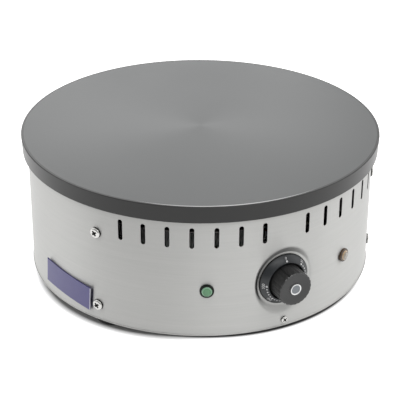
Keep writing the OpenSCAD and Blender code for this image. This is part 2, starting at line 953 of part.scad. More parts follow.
// Bezel and barrel of a pilot lamp, with two blades behind.
module lamp_body(side) {
    radial(side * lamp_angle, control_z)
    difference() {
        union() {
            translate([0, 0, lamp_back])
                cylinder(r = barrel_r, h = drum_r - lamp_back + 0.5);
            translate([0, 0, drum_r])
                rotate_extrude()
                    polygon([
                        [0, 0], [bezel_d / 2, 0], [bezel_d / 2, bezel_t - 0.7],
                        [bezel_d / 2 - 0.7, bezel_t], [0, bezel_t]
                    ]);
            for (s = [-1, 1])
                translate([s * lamp_tab - 0.4, -2.4, lamp_tip])
                    cube([0.8, 4.8, lamp_back - lamp_tip + 1]);
        }
        translate([0, 0, lens_y])
            cylinder(r = lens_d / 2 + thread_gap, h = 8);
    }
}

module lamp_lens(side) {
    r = lens_d / 2;
    radial(side * lamp_angle, control_z)
        translate([0, 0, lens_y])
            rotate_extrude()
                polygon([[0, 0], [r, 0], [r, 3], [r - 1.3, 4.4], [0, 4.4]]);
}

module green_lamp_body() {
    color([0.1, 0.2, 0.15])
    lamp_body(-1);
}

module green_lamp_lens() {
    color([0.35, 0.65, 0.45])
    lamp_lens(-1);
}

module amber_lamp_body() {
    color([0.42, 0.33, 0.24])
    lamp_body(1);
}

module amber_lamp_lens() {
    color([0.6, 0.4, 0.25])
    lamp_lens(1);
}

module lamp_nuts() {
    color([0.15, 0.15, 0.15])
    for (s = [-1, 1])
        radial(s * lamp_angle, control_z)
            translate([0, 0, drum_in - 4.4])
                nut(9.8, 4, barrel_r);
}

// ---------------------------------------------------------------- inlet and wiring

module terminal_block() {
    w = block_size[0];
    d = block_size[1];
    h = block_size[2];
    color([0.93, 0.92, 0.88])
    translate([block_c[0], block_c[1], foot_h + base_t])
    difference() {
        union() {
            translate([-w / 2, -d / 2, 0])
                cube([w, d, h * 0.6]);
            for (k = [-1, 0, 1])
                translate([k * 15 - 5.5, -d / 2, 0])
                    cube([11, d, h]);
        }
        for (k = [-1, 0, 1], s = [-1, 1])
            translate([k * 15, s * 6, h - 5])
                cylinder(r = 3, h = 6);
        for (s = [-1, 1])
            translate([s * 17, 0, -cut])
                cylinder(r = 1.5 + hole_gap, h = h + 2 * cut);
        for (s = [-1, 1])
            translate([s * 17, 0, 5])
                cylinder(r = 3.4, h = h);
    }
}

module block_screws() {
    color("silver")
    for (s = [-1, 1])
        translate([block_c[0] + s * 17, block_c[1], foot_h + base_t + 5])
            pan_screw([1.5, 3, 2], 6);
}

module earth_stud() {
    color("gold")
    translate([earth_c[0], earth_c[1], foot_h + base_t])
        cylinder(r = m5[0], h = 14);
}

module earth_nuts() {
    color("gold")
    for (z = [foot_h + base_t, foot_h + base_t + m5[2] + 1])
        translate([earth_c[0], earth_c[1], z])
            nut(m5[1], m5[2], m5[0]);
}

// Gland screwed through the drum wall: hex flange outside, threads on both sides.
module gland_body() {
    color([0.12, 0.12, 0.12])
    radial(gland_angle, gland_z)
    difference() {
        union() {
            translate([0, 0, drum_in - 12])
                cylinder(r = gland_thread, h = 14);
            translate([0, 0, drum_r])
                cylinder(r = gland_hex, h = gland_flange_t, $fn = 6);
            translate([0, 0, gland_y - cut])
                cylinder(r = gland_neck, h = 8 + cut);
        }
        translate([0, 0, drum_in - 13])
            cylinder(r = cable_d / 2 + 0.6, h = 40);
        translate([0, 0, gland_y + 1])
            cylinder(r = 7.6, h = 12);
    }
}

module gland_nut() {
    color([0.12, 0.12, 0.12])
    radial(gland_angle, gland_z)
        translate([0, 0, gland_y + 0.5])
            difference() {
                intersection() {
                    cylinder(r = gland_hex, h = gland_nut_l, $fn = 6);
                    rotate_extrude()
                        polygon([
                            [0, 0], [gland_hex, 0], [gland_hex, gland_nut_l - 7],
                            [gland_hex - 2.2, gland_nut_l - 3], [gland_hex - 5.5, gland_nut_l],
                            [0, gland_nut_l]
                        ]);
                }
                translate([0, 0, -cut])
                    cylinder(r = gland_neck + thread_gap, h = 10 + cut);
                translate([0, 0, -cut])
                    cylinder(r = cable_d / 2 + 0.6, h = gland_nut_l + 2 * cut);
            }
}

module gland_seal() {
    color([0.2, 0.2, 0.2])
    radial(gland_angle, gland_z)
        translate([0, 0, gland_y + 1])
            ring(cable_d / 2, 7.5, 9.4);
}

module gland_locknut() {
    color([0.12, 0.12, 0.12])
    radial(gland_angle, gland_z)
        translate([0, 0, drum_in - 5.5])
            nut(12.5, 5, gland_thread);
}

module supply_wires() {
    color([0.5, 0.3, 0.15])
    wire(live_route, wire_r);
    color([0.4, 0.6, 0.2]) {
        wire(earth_route, wire_r);
        translate([earth_c[0], earth_c[1], foot_h + base_t + m5[2]])
            ring(m5[0] + thread_gap, m5[1], 1);
    }
}

module element_leads() {
    color([0.9, 0.88, 0.8]) {
        wire(lead_a_route, lead_r);
        wire(lead_b_route, lead_r);
    }
}

module lamp_wires() {
    color([0.2, 0.3, 0.6]) {
        wire(green_a_route, wire_r);
        wire(green_b_route, wire_r);
        wire(amber_a_route, wire_r);
        wire(amber_b_route, wire_r);
    }
}

// ---------------------------------------------------------------- nameplate

// A strip bent to the nameplate's radius, w long and h high, in its place on the drum.
module nameplate_strip(r0, r1, w, h) {
    half = w / nameplate_bend * 90 / PI;
    radial(nameplate_angle, nameplate_z)
        rotate([0, 0, -nameplate_turn])
            translate([0, 0, drum_r + pad_t - nameplate_bend])
                rotate([-90, 0, 0])
                    wall_arc(r0, r1, -h / 2, h / 2, -half, half);
}

module nameplate() {
    color([0.38, 0.36, 0.6])
    nameplate_strip(nameplate_bend, nameplate_bend + nameplate_t, nameplate_w, nameplate_h);
}

module nameplate_pad() {
    color([0.1, 0.1, 0.1])
    difference() {
        nameplate_strip(nameplate_bend - 3, nameplate_bend, nameplate_w - 10, nameplate_h - 6);
        cylinder(r = drum_r, h = total_h, $fn = round_fn);
    }
}

griddle_plate();
plate_bolts();
plate_washers();
heating_element();
element_bushes();
element_pins();
clamp_bars();
clamp_studs();
clamp_nuts();
insulation_disc();
heat_shield();
shield_nuts();
thermostat_body();
thermostat_tabs();
thermostat_spindle();
thermostat_screws();
capillary_tube();
thermostat_bulb();
bulb_clips();
bulb_screws();
dial_plate();
knob();
knob_cap();
drum_wall();
upright_left();
upright_right();
upright_rear();
drum_screws();
base_plate();
base_screws();
foot_left();
foot_right();
foot_rear();
foot_screws();
foot_nuts();
green_lamp_body();
green_lamp_lens();
amber_lamp_body();
amber_lamp_lens();
lamp_nuts();
terminal_block();
block_screws();
earth_stud();
earth_nuts();
gland_body();
gland_nut();
gland_seal();
gland_locknut();
supply_wires();
element_leads();
lamp_wires();
nameplate();
nameplate_pad();
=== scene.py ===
"""Electric crepe maker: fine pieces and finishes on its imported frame. Metres, +Z up, knob on -Y."""

import json
import logging
import math
from collections.abc import Callable, Iterator
from contextlib import contextmanager
from dataclasses import dataclass
from enum import Enum

import bmesh
import bpy
from mathutils import Matrix, Quaternion, Vector


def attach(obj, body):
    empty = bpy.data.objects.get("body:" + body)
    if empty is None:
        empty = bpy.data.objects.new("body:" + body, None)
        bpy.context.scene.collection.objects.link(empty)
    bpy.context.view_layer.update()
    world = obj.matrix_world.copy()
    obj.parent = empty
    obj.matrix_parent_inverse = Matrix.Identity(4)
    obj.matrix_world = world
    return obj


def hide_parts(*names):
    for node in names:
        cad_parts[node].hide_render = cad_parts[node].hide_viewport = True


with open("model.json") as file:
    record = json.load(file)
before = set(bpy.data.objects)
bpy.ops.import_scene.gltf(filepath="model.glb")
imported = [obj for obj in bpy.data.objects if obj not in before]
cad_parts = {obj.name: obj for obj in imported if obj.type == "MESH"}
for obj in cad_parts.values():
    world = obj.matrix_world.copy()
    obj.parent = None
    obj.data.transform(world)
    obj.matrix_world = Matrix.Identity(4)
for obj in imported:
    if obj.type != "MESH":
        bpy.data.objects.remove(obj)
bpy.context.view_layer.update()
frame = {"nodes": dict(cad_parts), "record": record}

log = logging.getLogger("crepe_maker")
MM = 0.001
WELD = MM / 500
NEAR = MM / 100
BODY = "housing"
KNOB_BODY = "control_knob"
DRUM_R = 193.3 * MM
SEAT_Y = 188.3 * MM
CONTROL_Z = 65.8 * MM
UPRIGHTS = tuple(60 * k - 1.4 for k in (-1, 1, 3))
DRUM_SCREWS_Z = (28.8 * MM, 115.7 * MM)
BASE_SCREWS_Z = 18.1 * MM
LAMP_ANGLE = 25.4
Colour = tuple[float, float, float]
Profile = list[tuple[float, float]]
Socket = bpy.types.NodeSocket
Value = Socket | float


# ---------------------------------------------------------------- node sheets


class Wiring:
    """A node tree, with short calls that add and wire its nodes."""

    def __init__(self, tree: bpy.types.NodeTree) -> None:
        """Takes up a tree that is already there."""
        self.tree = tree

    def add(self, kind: str, **settings: object) -> bpy.types.Node:
        """Adds one node.

        Args:
            kind: the node's type, without its ShaderNode prefix.
            **settings: values of the node's own settings.

        Returns:
            The new node.
        """
        node = self.tree.nodes.new("ShaderNode" + kind)
        for key, value in settings.items():
            setattr(node, key, value)
        return node

    def wire(self, into: Socket, value: object) -> None:
        """Sets a socket, or links it where the value is another node's output.

        Args:
            into: the socket that takes the value.
            value: a plain value or an output.
        """
        if isinstance(value, Socket):
            self.tree.links.new(value, into)
        else:
            into.default_value = value

    def math(self, operation: str, a: Value, b: Value = 0.0, clamp: bool = False) -> Socket:
        """One sum on numbers or outputs.

        Args:
            operation: the Math node's operation.
            a: its first value.
            b: its second value.
            clamp: keeps the result within 0 and 1.

        Returns:
            The result's output.
        """
        node = self.add("Math", operation=operation, use_clamp=clamp)
        self.wire(node.inputs[0], a)
        self.wire(node.inputs[1], b)
        return node.outputs[0]

    def times(self, a: Value, b: Value) -> Socket:
        """One value times another."""
        return self.math("MULTIPLY", a, b)

    def plus(self, a: Value, b: Value) -> Socket:
        """One value and another."""
        return self.math("ADD", a, b)

    def less(self, a: Value, b: Value) -> Socket:
        """One value less another."""
        return self.math("SUBTRACT", a, b)

    def hypot(self, a: Value, b: Value) -> Socket:
        """Length of a line that runs one value along and another across."""
        return self.math("SQRT", self.plus(self.times(a, a), self.times(b, b)))

    def bearing(self, x: Value, y: Value) -> Socket:
        """Angle round the object, from the knob towards +X."""
        return self.math("ARCTAN2", x, self.times(y, -1.0))

    def ramp(self, value: Value, start: Value, width: float) -> Socket:
        """0 up to a start, and growing to 1 over a width past it."""
        return self.math("DIVIDE", self.less(value, start), width, clamp=True)

    def hump(self, angle: Value, middle: float, half: float) -> Socket:
        """1 at a middle angle, falling to 0 at half a width on each side, both in degrees."""
        off = self.math("DIVIDE", self.less(angle, math.radians(middle)), math.radians(half))
        return self.math("SUBTRACT", 1.0, self.times(off, off), clamp=True)

    def seen(self) -> Socket:
        """1 for the rays that show the background: the camera's, and those off gloss or through glass.

        Returns:
            The output that holds it.
        """
        path = self.add("LightPath").outputs
        mirrored = self.math("MAXIMUM", path["Is Camera Ray"], path["Is Glossy Ray"])
        return self.math("MAXIMUM", mirrored, path["Is Transmission Ray"])


class NodeSheet(Wiring):
    """The node tree of one material, which patterns and paints its one shader."""

    def __init__(self, name: str) -> None:
        """Starts an empty material.

        Args:
            name: the material's name.
        """
        self.material = bpy.data.materials.new(name)
        self.material.use_nodes = True
        super().__init__(self.material.node_tree)
        self.shader = self.tree.nodes["Principled BSDF"]
        self.place = self.add("TexCoord").outputs["Object"]

    def axes(self) -> tuple[Socket, Socket, Socket]:
        """The object's x, y and z at each point.

        Returns:
            The three outputs.
        """
        node = self.add("SeparateXYZ")
        self.wire(node.inputs[0], self.place)
        return node.outputs[0], node.outputs[1], node.outputs[2]

    def point(self, x: Value, y: Value, z: Value) -> Socket:
        """A vector from three numbers or outputs.

        Args:
            x: its first value.
            y: its second value.
            z: its third value.

        Returns:
            The vector's output.
        """
        node = self.add("CombineXYZ")
        for socket, value in zip(node.inputs, (x, y, z)):
            self.wire(socket, value)
        return node.outputs[0]

    def noise(self, where: Socket, scale: float, detail: float = 3.0, rough: float = 0.5) -> Socket:
        """Cloudy noise about 0.5.

        Args:
            where: the vector that it is read at.
            scale: its frequency, per metre.
            detail: its octaves.
            rough: how strong the finer octaves are.

        Returns:
            The noise's value.
        """
        node = self.add("TexNoise")
        self.wire(node.inputs["Vector"], where)
        node.inputs["Scale"].default_value = scale
        node.inputs["Detail"].default_value = detail
        node.inputs["Roughness"].default_value = rough
        return node.outputs[0]

    def mixed(self, a: Value, share: float, b: Value) -> Socket:
        """Two patterns added up, the first by its share and the second by the rest."""
        return self.plus(self.times(a, share), self.times(b, 1 - share))

    def spread(self, value: Value, low: float, high: float) -> Socket:
        """Stretches a value from 0..1 to low..high.

        Args:
            value: the value or output.
            low: what 0 becomes.
            high: what 1 becomes.

        Returns:
            The stretched value.
        """
        node = self.add("MapRange")
        self.wire(node.inputs["Value"], value)
        node.inputs["To Min"].default_value = low
        node.inputs["To Max"].default_value = high
        return node.outputs["Result"]

    def blend(self, share: Value, a: Socket | Colour, b: Socket | Colour) -> Socket:
        """Mixes two colours.

        Args:
            share: 0 for the first colour, 1 for the second.
            a: the first colour or output.
            b: the second colour or output.

        Returns:
            The mixed colour.
        """
        node = self.add("Mix", data_type="RGBA")
        self.wire(node.inputs[0], share)
        self.wire(node.inputs[6], rgba(a))
        self.wire(node.inputs[7], rgba(b))
        return node.outputs[2]

    def tint(self, colour: Colour, value: Socket, swing: float) -> Socket:
        """A colour that grows lighter and darker with a value.

        Args:
            colour: the middle colour.
            value: an output about 0.5.
            swing: how far it goes each way, as a share.

        Returns:
            The varied colour.
        """
        dark = tuple(c * (1 - swing) for c in colour)
        light = tuple(min(1.0, c * (1 + swing)) for c in colour)
        return self.blend(value, dark, light)

    def bump(self, height: Socket, depth: float, strength: float) -> None:
        """Raises the surface by a height.

        Args:
            height: the output that gives the height, from 0 to 1.
            depth: how high 1 stands, in metres.
            strength: how much of it shows.
        """
        node = self.add("Bump")
        node.inputs["Strength"].default_value = strength
        node.inputs["Distance"].default_value = depth
        self.wire(node.inputs["Height"], height)
        self.wire(self.shader.inputs["Normal"], node.outputs[0])

    def set(self, **sockets: object) -> None:
        """Sets or links the shader's sockets, whose names are given with _ for a space."""
        for key, value in sockets.items():
            self.wire(self.shader.inputs[key.replace("_", " ")], rgba(value))


def rgba(value: object) -> object:
    """A colour with its alpha, or the value itself where it isn't a plain colour."""
    return (*value, 1.0) if isinstance(value, tuple) and len(value) == 3 else value


# ---------------------------------------------------------------- finishes


@dataclass(frozen=True)
class Finish:
    """A surface finish that is made into one material.

    Attributes:
        name: the material's name.
        colour: its base colour, linear.
        roughness: how matt it is.
    """

    name: str
    colour: Colour
    roughness: float

    def material(self) -> bpy.types.Material:
        """Makes the material, or gives the one already made.

        Returns:
            The material.
        """
        made = bpy.data.materials.get(self.name)
        if made and made.get("finished"):
            return made
        sheet = NodeSheet(self.name)
        self.paint(sheet)
        sheet.material["finished"] = True
        return sheet.material

    def paint(self, sheet: NodeSheet) -> None:
        """Wires the finish's nodes; each kind of finish has its own."""
        raise NotImplementedError


@dataclass(frozen=True)
class Seasoned(Finish):
    """Blackened iron, turned on its top: fine rings, a satin sheen and a matt rim, with painted shade on the
    top's border and a painted highlight along its front.

    Attributes:
        rim_colour: colour of the rim below the turned face.
        worn_colour: colour of the painted highlight, a thin bright line along the front of the top's border.
        face_z: height of the turned face.
        border_r: radius at which the turned face stops and a band as dark as the rim starts, painted shade
            that stands for a rounded edge.
        worn_l: width of the painted highlight line at its middle.
        worn_at: angle of its middle from the knob's side, in degrees.
        worn_w: degrees from its middle to an end.
        fade: width over which one finish passes into the next.
    """

    rim_colour: Colour = (0.017, 0.017, 0.0165)
    worn_colour: Colour = (0.5, 0.5, 0.5)
    face_z: float = 166 * MM
    border_r: float = 196.9 * MM
    worn_l: float = 1.6 * MM
    worn_at: float = -19.0
    worn_w: float = 30.0
    fade: float = 0.2 * MM

    def paint(self, sheet: NodeSheet) -> None:
        """Rings round the axis, and masks that part the turned face, the rim, a band of painted shade round
        the top's border and a painted highlight line at its front.

        Args:
            sheet: the sheet to wire them on.
        """
        x, y, z = sheet.axes()
        radius = sheet.hypot(x, y)
        rings = sheet.noise(sheet.point(radius, 0.0, 0.0), scale=900.0, detail=4.0, rough=0.6)
        clouds = sheet.noise(sheet.place, scale=9.0, detail=3.0)
        grain = sheet.noise(sheet.place, scale=700.0, detail=4.0, rough=0.65)
        top = sheet.ramp(z, self.face_z - self.fade, self.fade / 2)
        # Past the border radius the top keeps the rim's dark colour: painted shade standing in for a rounded
        # edge.
        border = sheet.ramp(radius, self.border_r, self.fade)
        # A thin line at the inner edge of that band, widest towards the front, is painted bright and
        # metallic: a painted highlight.
        highlight_width = sheet.times(sheet.hump(sheet.bearing(x, y), self.worn_at, self.worn_w), self.worn_l)
        within = sheet.ramp(sheet.plus(highlight_width, self.border_r), radius, self.fade)
        face = sheet.times(top, sheet.less(1.0, border))
        edge = sheet.times(sheet.times(top, border), within)
        turned = sheet.tint(self.colour, sheet.mixed(rings, 0.3, clouds), swing=0.07)
        rim = sheet.tint(self.rim_colour, grain, swing=0.12)
        sheet.set(
            Base_Color=sheet.blend(edge, sheet.blend(face, rim, turned), self.worn_colour),
            Metallic=sheet.times(sheet.math("MAXIMUM", face, edge), 0.35),
            Roughness=sheet.plus(sheet.spread(clouds, self.roughness, self.roughness + 0.06),
                                 sheet.times(face, 0.03)),
            Anisotropic=0.4,
            Tangent=sheet.point(x, y, 0.0),
            Specular_IOR_Level=0.4,
        )
        relief = sheet.plus(sheet.times(rings, face), sheet.times(grain, 0.5))
        sheet.bump(relief, depth=0.03 * MM, strength=0.35)


@dataclass(frozen=True)
class BrushedSteel(Finish):
    """Stainless sheet with long fine scratches round the drum.

    Attributes:
        stretch: radius of the small circle that the scratches are read on, which draws them out.
        depth: depth of the scratches.
        flare_r: radius at which the flare of the drum's recess starts.
        burnish: how much darker the flare's upper left is painted, as painted shade.
    """

    stretch: float = 4 * MM
    depth: float = 0.012 * MM
    flare_r: float = 30.8 * MM
    burnish: float = 0.62

    def paint(self, sheet: NodeSheet) -> None:
        """Noise stretched along the brushing, in colour, roughness and bump, with painted shade on the upper
        left of the recess's flare.

        Args:
            sheet: the sheet to wire it on.
        """
        x, y, z = sheet.axes()
        angle = sheet.bearing(x, y)
        where = sheet.point(sheet.times(sheet.math("COSINE", angle), self.stretch),
                            sheet.times(sheet.math("SINE", angle), self.stretch), z)
        fine = sheet.noise(where, scale=1100.0, detail=4.0, rough=0.7)
        broad = sheet.noise(where, scale=260.0, detail=3.0, rough=0.6)
        clouds = sheet.noise(sheet.place, scale=7.0, detail=2.0)
        streaks = sheet.mixed(fine, 0.55, broad)
        # The flare's upper left is painted darker: painted shade.
        darker = tuple(c * (1 - self.burnish) for c in self.colour)
        sheet.set(
            Base_Color=sheet.blend(self.on_flare(sheet),
                                   sheet.tint(self.colour, streaks, swing=0.14), darker),
            Metallic=1.0,
            Roughness=sheet.plus(sheet.spread(streaks, self.roughness - 0.05, self.roughness + 0.05),
                                 sheet.spread(clouds, -0.02, 0.02)),
            Anisotropic=0.9,
            Tangent=sheet.point(0.0, 0.0, 1.0),
        )
        sheet.bump(streaks, depth=self.depth, strength=0.3)

    def on_flare(self, sheet: NodeSheet) -> Socket:
        """1 on the upper left of the recess's flare, where shade is painted, fading to 0 round it and off it.

        Args:
            sheet: the steel's node sheet.

        Returns:
            The value's output.
        """
        x, y, z = sheet.axes()
        up = sheet.less(z, CONTROL_Z)
        out = sheet.hypot(x, up)
        sunk = sheet.ramp(DRUM_R - 0.1 * MM, sheet.hypot(x, y), MM)
        beyond = sheet.ramp(out, self.flare_r, 0.6 * MM)
        lean = sheet.less(sheet.times(up, 0.8), sheet.times(x, 0.6))
        side = sheet.math("ADD", sheet.math("DIVIDE", lean, out), 0.25, clamp=True)
        return sheet.times(sheet.times(sunk, beyond), side)


@dataclass(frozen=True)
class MillSteel(Finish):
    """Plain rolled sheet, clamps and uprights inside."""

    def paint(self, sheet: NodeSheet) -> None:
        """Clouded roughness with a faint rolled grain.

        Args:
            sheet: the sheet to wire it on.
        """
        clouds = sheet.noise(sheet.place, scale=60.0, detail=4.0, rough=0.6)
        grain = sheet.noise(sheet.place, scale=1500.0, detail=3.0, rough=0.6)
        sheet.set(
            Base_Color=sheet.tint(self.colour, clouds, swing=0.1),
            Metallic=1.0,
            Roughness=sheet.spread(clouds, self.roughness - 0.06, self.roughness + 0.08),
        )
        sheet.bump(grain, depth=0.02 * MM, strength=0.3)


@dataclass(frozen=True)
class Plated(Finish):
    """Bright plated metal: screws, nuts, tabs and the knob's cap."""

    def paint(self, sheet: NodeSheet) -> None:
        """Slight clouds in the plating.

        Args:
            sheet: the sheet to wire them on.
        """
        clouds = sheet.noise(sheet.place, scale=350.0, detail=3.0, rough=0.6)
        sheet.set(
            Base_Color=sheet.tint(self.colour, clouds, swing=0.05),
            Metallic=1.0,
            Roughness=sheet.spread(clouds, self.roughness - 0.04, self.roughness + 0.06),
        )
        sheet.bump(clouds, depth=0.01 * MM, strength=0.2)


@dataclass(frozen=True)
class Moulded(Finish):
    """Moulded plastic or ceramic with a fine texture.

    Attributes:
        grain: size of the texture, per metre.
        depth: depth of the texture.
        coat: share of a gloss coat.
        shine: how strongly the surface itself mirrors.
    """

    grain: float = 1800.0
    depth: float = 0.03 * MM
    coat: float = 0.0
    shine: float = 0.5

    def paint(self, sheet: NodeSheet) -> None:
        """A leathery fine grain, with small swings of colour and gloss.

        Args:
            sheet: the sheet to wire it on.
        """
        grain = sheet.noise(sheet.place, scale=self.grain, detail=3.0, rough=0.6)
        clouds = sheet.noise(sheet.place, scale=70.0, detail=3.0, rough=0.5)
        sheet.set(
            Base_Color=sheet.tint(self.colour, clouds, swing=0.08),
            Roughness=sheet.spread(grain, self.roughness - 0.05, self.roughness + 0.07),
            Coat_Weight=self.coat,
            Specular_IOR_Level=self.shine,
        )
        sheet.bump(grain, depth=self.depth, strength=0.5)


@dataclass(frozen=True)
class Rubber(Finish):
    """Matt black rubber with a bloom on it."""

    def paint(self, sheet: NodeSheet) -> None:
        """Pale bloom in patches over a fine grain.

        Args:
            sheet: the sheet to wire it on.
        """
        bloom = sheet.noise(sheet.place, scale=120.0, detail=5.0, rough=0.7)
        grain = sheet.noise(sheet.place, scale=2200.0, detail=2.0)
        sheet.set(
            Base_Color=sheet.tint(self.colour, bloom, swing=0.35),
            Roughness=sheet.spread(bloom, self.roughness - 0.08, self.roughness + 0.08),
        )
        sheet.bump(grain, depth=0.04 * MM, strength=0.5)


@dataclass(frozen=True)
class FibreBoard(Finish):
    """Pressed ceramic fibre.

    Attributes:
        draw: how much the fibres are drawn out along their length.
    """

    draw: float = 0.15

    def paint(self, sheet: NodeSheet) -> None:
        """Tangled fibres, as stretched noise in two directions.

        Args:
            sheet: the sheet to wire them on.
        """
        x, y, z = sheet.axes()
        one = sheet.noise(sheet.point(sheet.times(x, self.draw), y, z), scale=900.0, detail=4.0, rough=0.7)
        two = sheet.noise(sheet.point(x, sheet.times(y, self.draw), z), scale=900.0, detail=4.0, rough=0.7)
        fibres = sheet.mixed(one, 0.5, two)
        sheet.set(Base_Color=sheet.tint(self.colour, fibres, swing=0.15), Roughness=self.roughness)
        sheet.bump(fibres, depth=0.3 * MM, strength=0.6)


@dataclass(frozen=True)
class HeatedTube(Finish):
    """Metal tube with the colours that heat leaves on it.

    Attributes:
        heat: the colour that it turns to.
    """

    heat: Colour = (0.2, 0.12, 0.08)

    def paint(self, sheet: NodeSheet) -> None:
        """Patches of heat colour along the tube.

        Args:
            sheet: the sheet to wire them on.
        """
        patches = sheet.noise(sheet.place, scale=35.0, detail=3.0, rough=0.6)
        grain = sheet.noise(sheet.place, scale=900.0, detail=3.0, rough=0.6)
        sheet.set(
            Base_Color=sheet.blend(patches, self.colour, self.heat),
            Metallic=0.9,
            Roughness=sheet.spread(patches, self.roughness - 0.08, self.roughness + 0.1),
        )
        sheet.bump(grain, depth=0.03 * MM, strength=0.4)


@dataclass(frozen=True)
class Sleeved(Finish):
    """Braided or silicone sleeve on a wire.

    Attributes:
        braid: spacing of the braid's crossings, per metre.
    """

    braid: float = 900.0

    def paint(self, sheet: NodeSheet) -> None:
        """Two crossing waves that make the braid.

        Args:
            sheet: the sheet to wire them on.
        """
        waves = []
        for direction in ("X", "Z"):
            node = sheet.add("TexWave", bands_direction=direction)
            sheet.wire(node.inputs["Vector"], sheet.place)
            node.inputs["Scale"].default_value = self.braid
            node.inputs["Distortion"].default_value = 1.5
            waves.append(node.outputs["Fac"])
        braid = sheet.mixed(waves[0], 0.5, waves[1])
        sheet.set(Base_Color=sheet.tint(self.colour, braid, swing=0.18), Roughness=self.roughness)
        sheet.bump(braid, depth=0.1 * MM, strength=0.5)


@dataclass(frozen=True)
class TintedLens(Finish):
    """Tinted clear plastic over a prismatic back, as on a pilot lamp.

    Attributes:
        clear: how much light goes through.
        prism: spacing of the prisms.
    """

    clear: float = 0.35
    prism: float = 1.1 * MM

    def paint(self, sheet: NodeSheet) -> None:
        """A small checked grid of prisms in colour and bump.

        Args:
            sheet: the sheet to wire it on.
        """
        node = sheet.add("TexVoronoi", feature="F1", distance="CHEBYCHEV")
        sheet.wire(node.inputs["Vector"], sheet.place)
        node.inputs["Scale"].default_value = 1 / self.prism
        node.inputs["Randomness"].default_value = 0.15
        cells = sheet.math("MULTIPLY", node.outputs["Distance"], 1.6, clamp=True)
        sheet.set(
            Base_Color=sheet.tint(self.colour, cells, swing=0.25),
            Roughness=self.roughness,
            Transmission_Weight=self.clear,
            IOR=1.49,
            Coat_Weight=0.5,
            Coat_Roughness=0.08,
        )
        sheet.bump(cells, depth=0.15 * MM, strength=0.6)


FINISHES: dict[str, Finish] = {finish.name: finish for finish in (
    Seasoned("plate_black", (0.09, 0.094, 0.094), 0.34),
    BrushedSteel("steel_drum", (0.46, 0.46, 0.449), 0.48),
    MillSteel("steel_sheet", (0.5, 0.5, 0.49), 0.42),
    Plated("steel_screw", (0.53, 0.525, 0.51), 0.18),
    HeatedTube("element_metal", (0.12, 0.12, 0.115), 0.45, heat=(0.1, 0.06, 0.05)),
    Moulded("ceramic", (0.78, 0.76, 0.7), 0.5, grain=900.0),
    FibreBoard("insulation", (0.62, 0.59, 0.5), 0.95),
    Moulded("phenolic", (0.05, 0.022, 0.012), 0.35, coat=0.2),
    HeatedTube("copper", (0.6, 0.28, 0.16), 0.28, heat=(0.3, 0.12, 0.07)),
    Plated("brass", (0.62, 0.42, 0.16), 0.25),
    Moulded("dial_black", (0.011, 0.014, 0.017), 0.33, grain=900.0, depth=0.01 * MM),
    Moulded("knob_black", (0.031, 0.031, 0.031), 0.42),
    Plated("cap_silver", (0.62, 0.62, 0.62), 0.3),
    Rubber("rubber_black", (0.018, 0.018, 0.018), 0.75),
    Moulded("lamp_dark_green", (0.001, 0.007, 0.003), 0.1, grain=400.0, depth=0.01 * MM, shine=0.2),
    Moulded("lamp_brown", (0.085, 0.048, 0.025), 0.1, grain=400.0, depth=0.01 * MM),
    TintedLens("lens_green", (0.135, 0.48, 0.2), 0.15),
    TintedLens("lens_amber", (0.35, 0.285, 0.19), 0.15),
    Moulded("nylon_black", (0.02, 0.02, 0.02), 0.42),
    Moulded("nylon_cream", (0.72, 0.68, 0.55), 0.4),
    Sleeved("wire_brown", (0.1, 0.045, 0.02), 0.5),
    Sleeved("wire_white", (0.66, 0.63, 0.54), 0.7),
    Sleeved("wire_blue", (0.03, 0.06, 0.2), 0.5),
    Moulded("nameplate_violet", (0.105, 0.095, 0.29), 0.38, grain=500.0, depth=0.01 * MM, coat=0.2),
    Rubber("foam_black", (0.02, 0.02, 0.02), 0.85),
)}
PRINT_WHITE = Moulded("print_white", (0.9, 0.9, 0.9), 0.5, grain=900.0, depth=0.005 * MM)
# Near-black matt finish for the dial's mouth and outer edge: painted shade at the mouth round the knob, the
# dial's own unprinted black at its edge.
DIAL_EDGE = Moulded("dial_edge", (0.003, 0.003, 0.003), 0.8, grain=900.0, depth=0.01 * MM)
# Near black for the screws' crosses and the lower sides of their heads: painted shade.
SCREW_SHADE = Plated("screw_shade", (0.035, 0.035, 0.033), 0.45)
# A dark sheet finish for the pieces inside the drum: painted shade.
SHADED_SHEET = MillSteel("shaded_sheet", (0.13, 0.125, 0.12), 0.5)
KNOB_RIM = Moulded("knob_rim", (0.05, 0.05, 0.05), 0.14, depth=0.01 * MM)
PLATE_EDGE = Plated("plate_edge", (0.36, 0.36, 0.4), 0.35)
PLATE_RIM = Moulded("plate_rim", (0.07, 0.062, 0.19), 0.4, grain=500.0, depth=0.01 * MM)
CAP_FACE = Plated("cap_face", (0.16, 0.17, 0.18), 0.42)


# ---------------------------------------------------------------- modelling steps


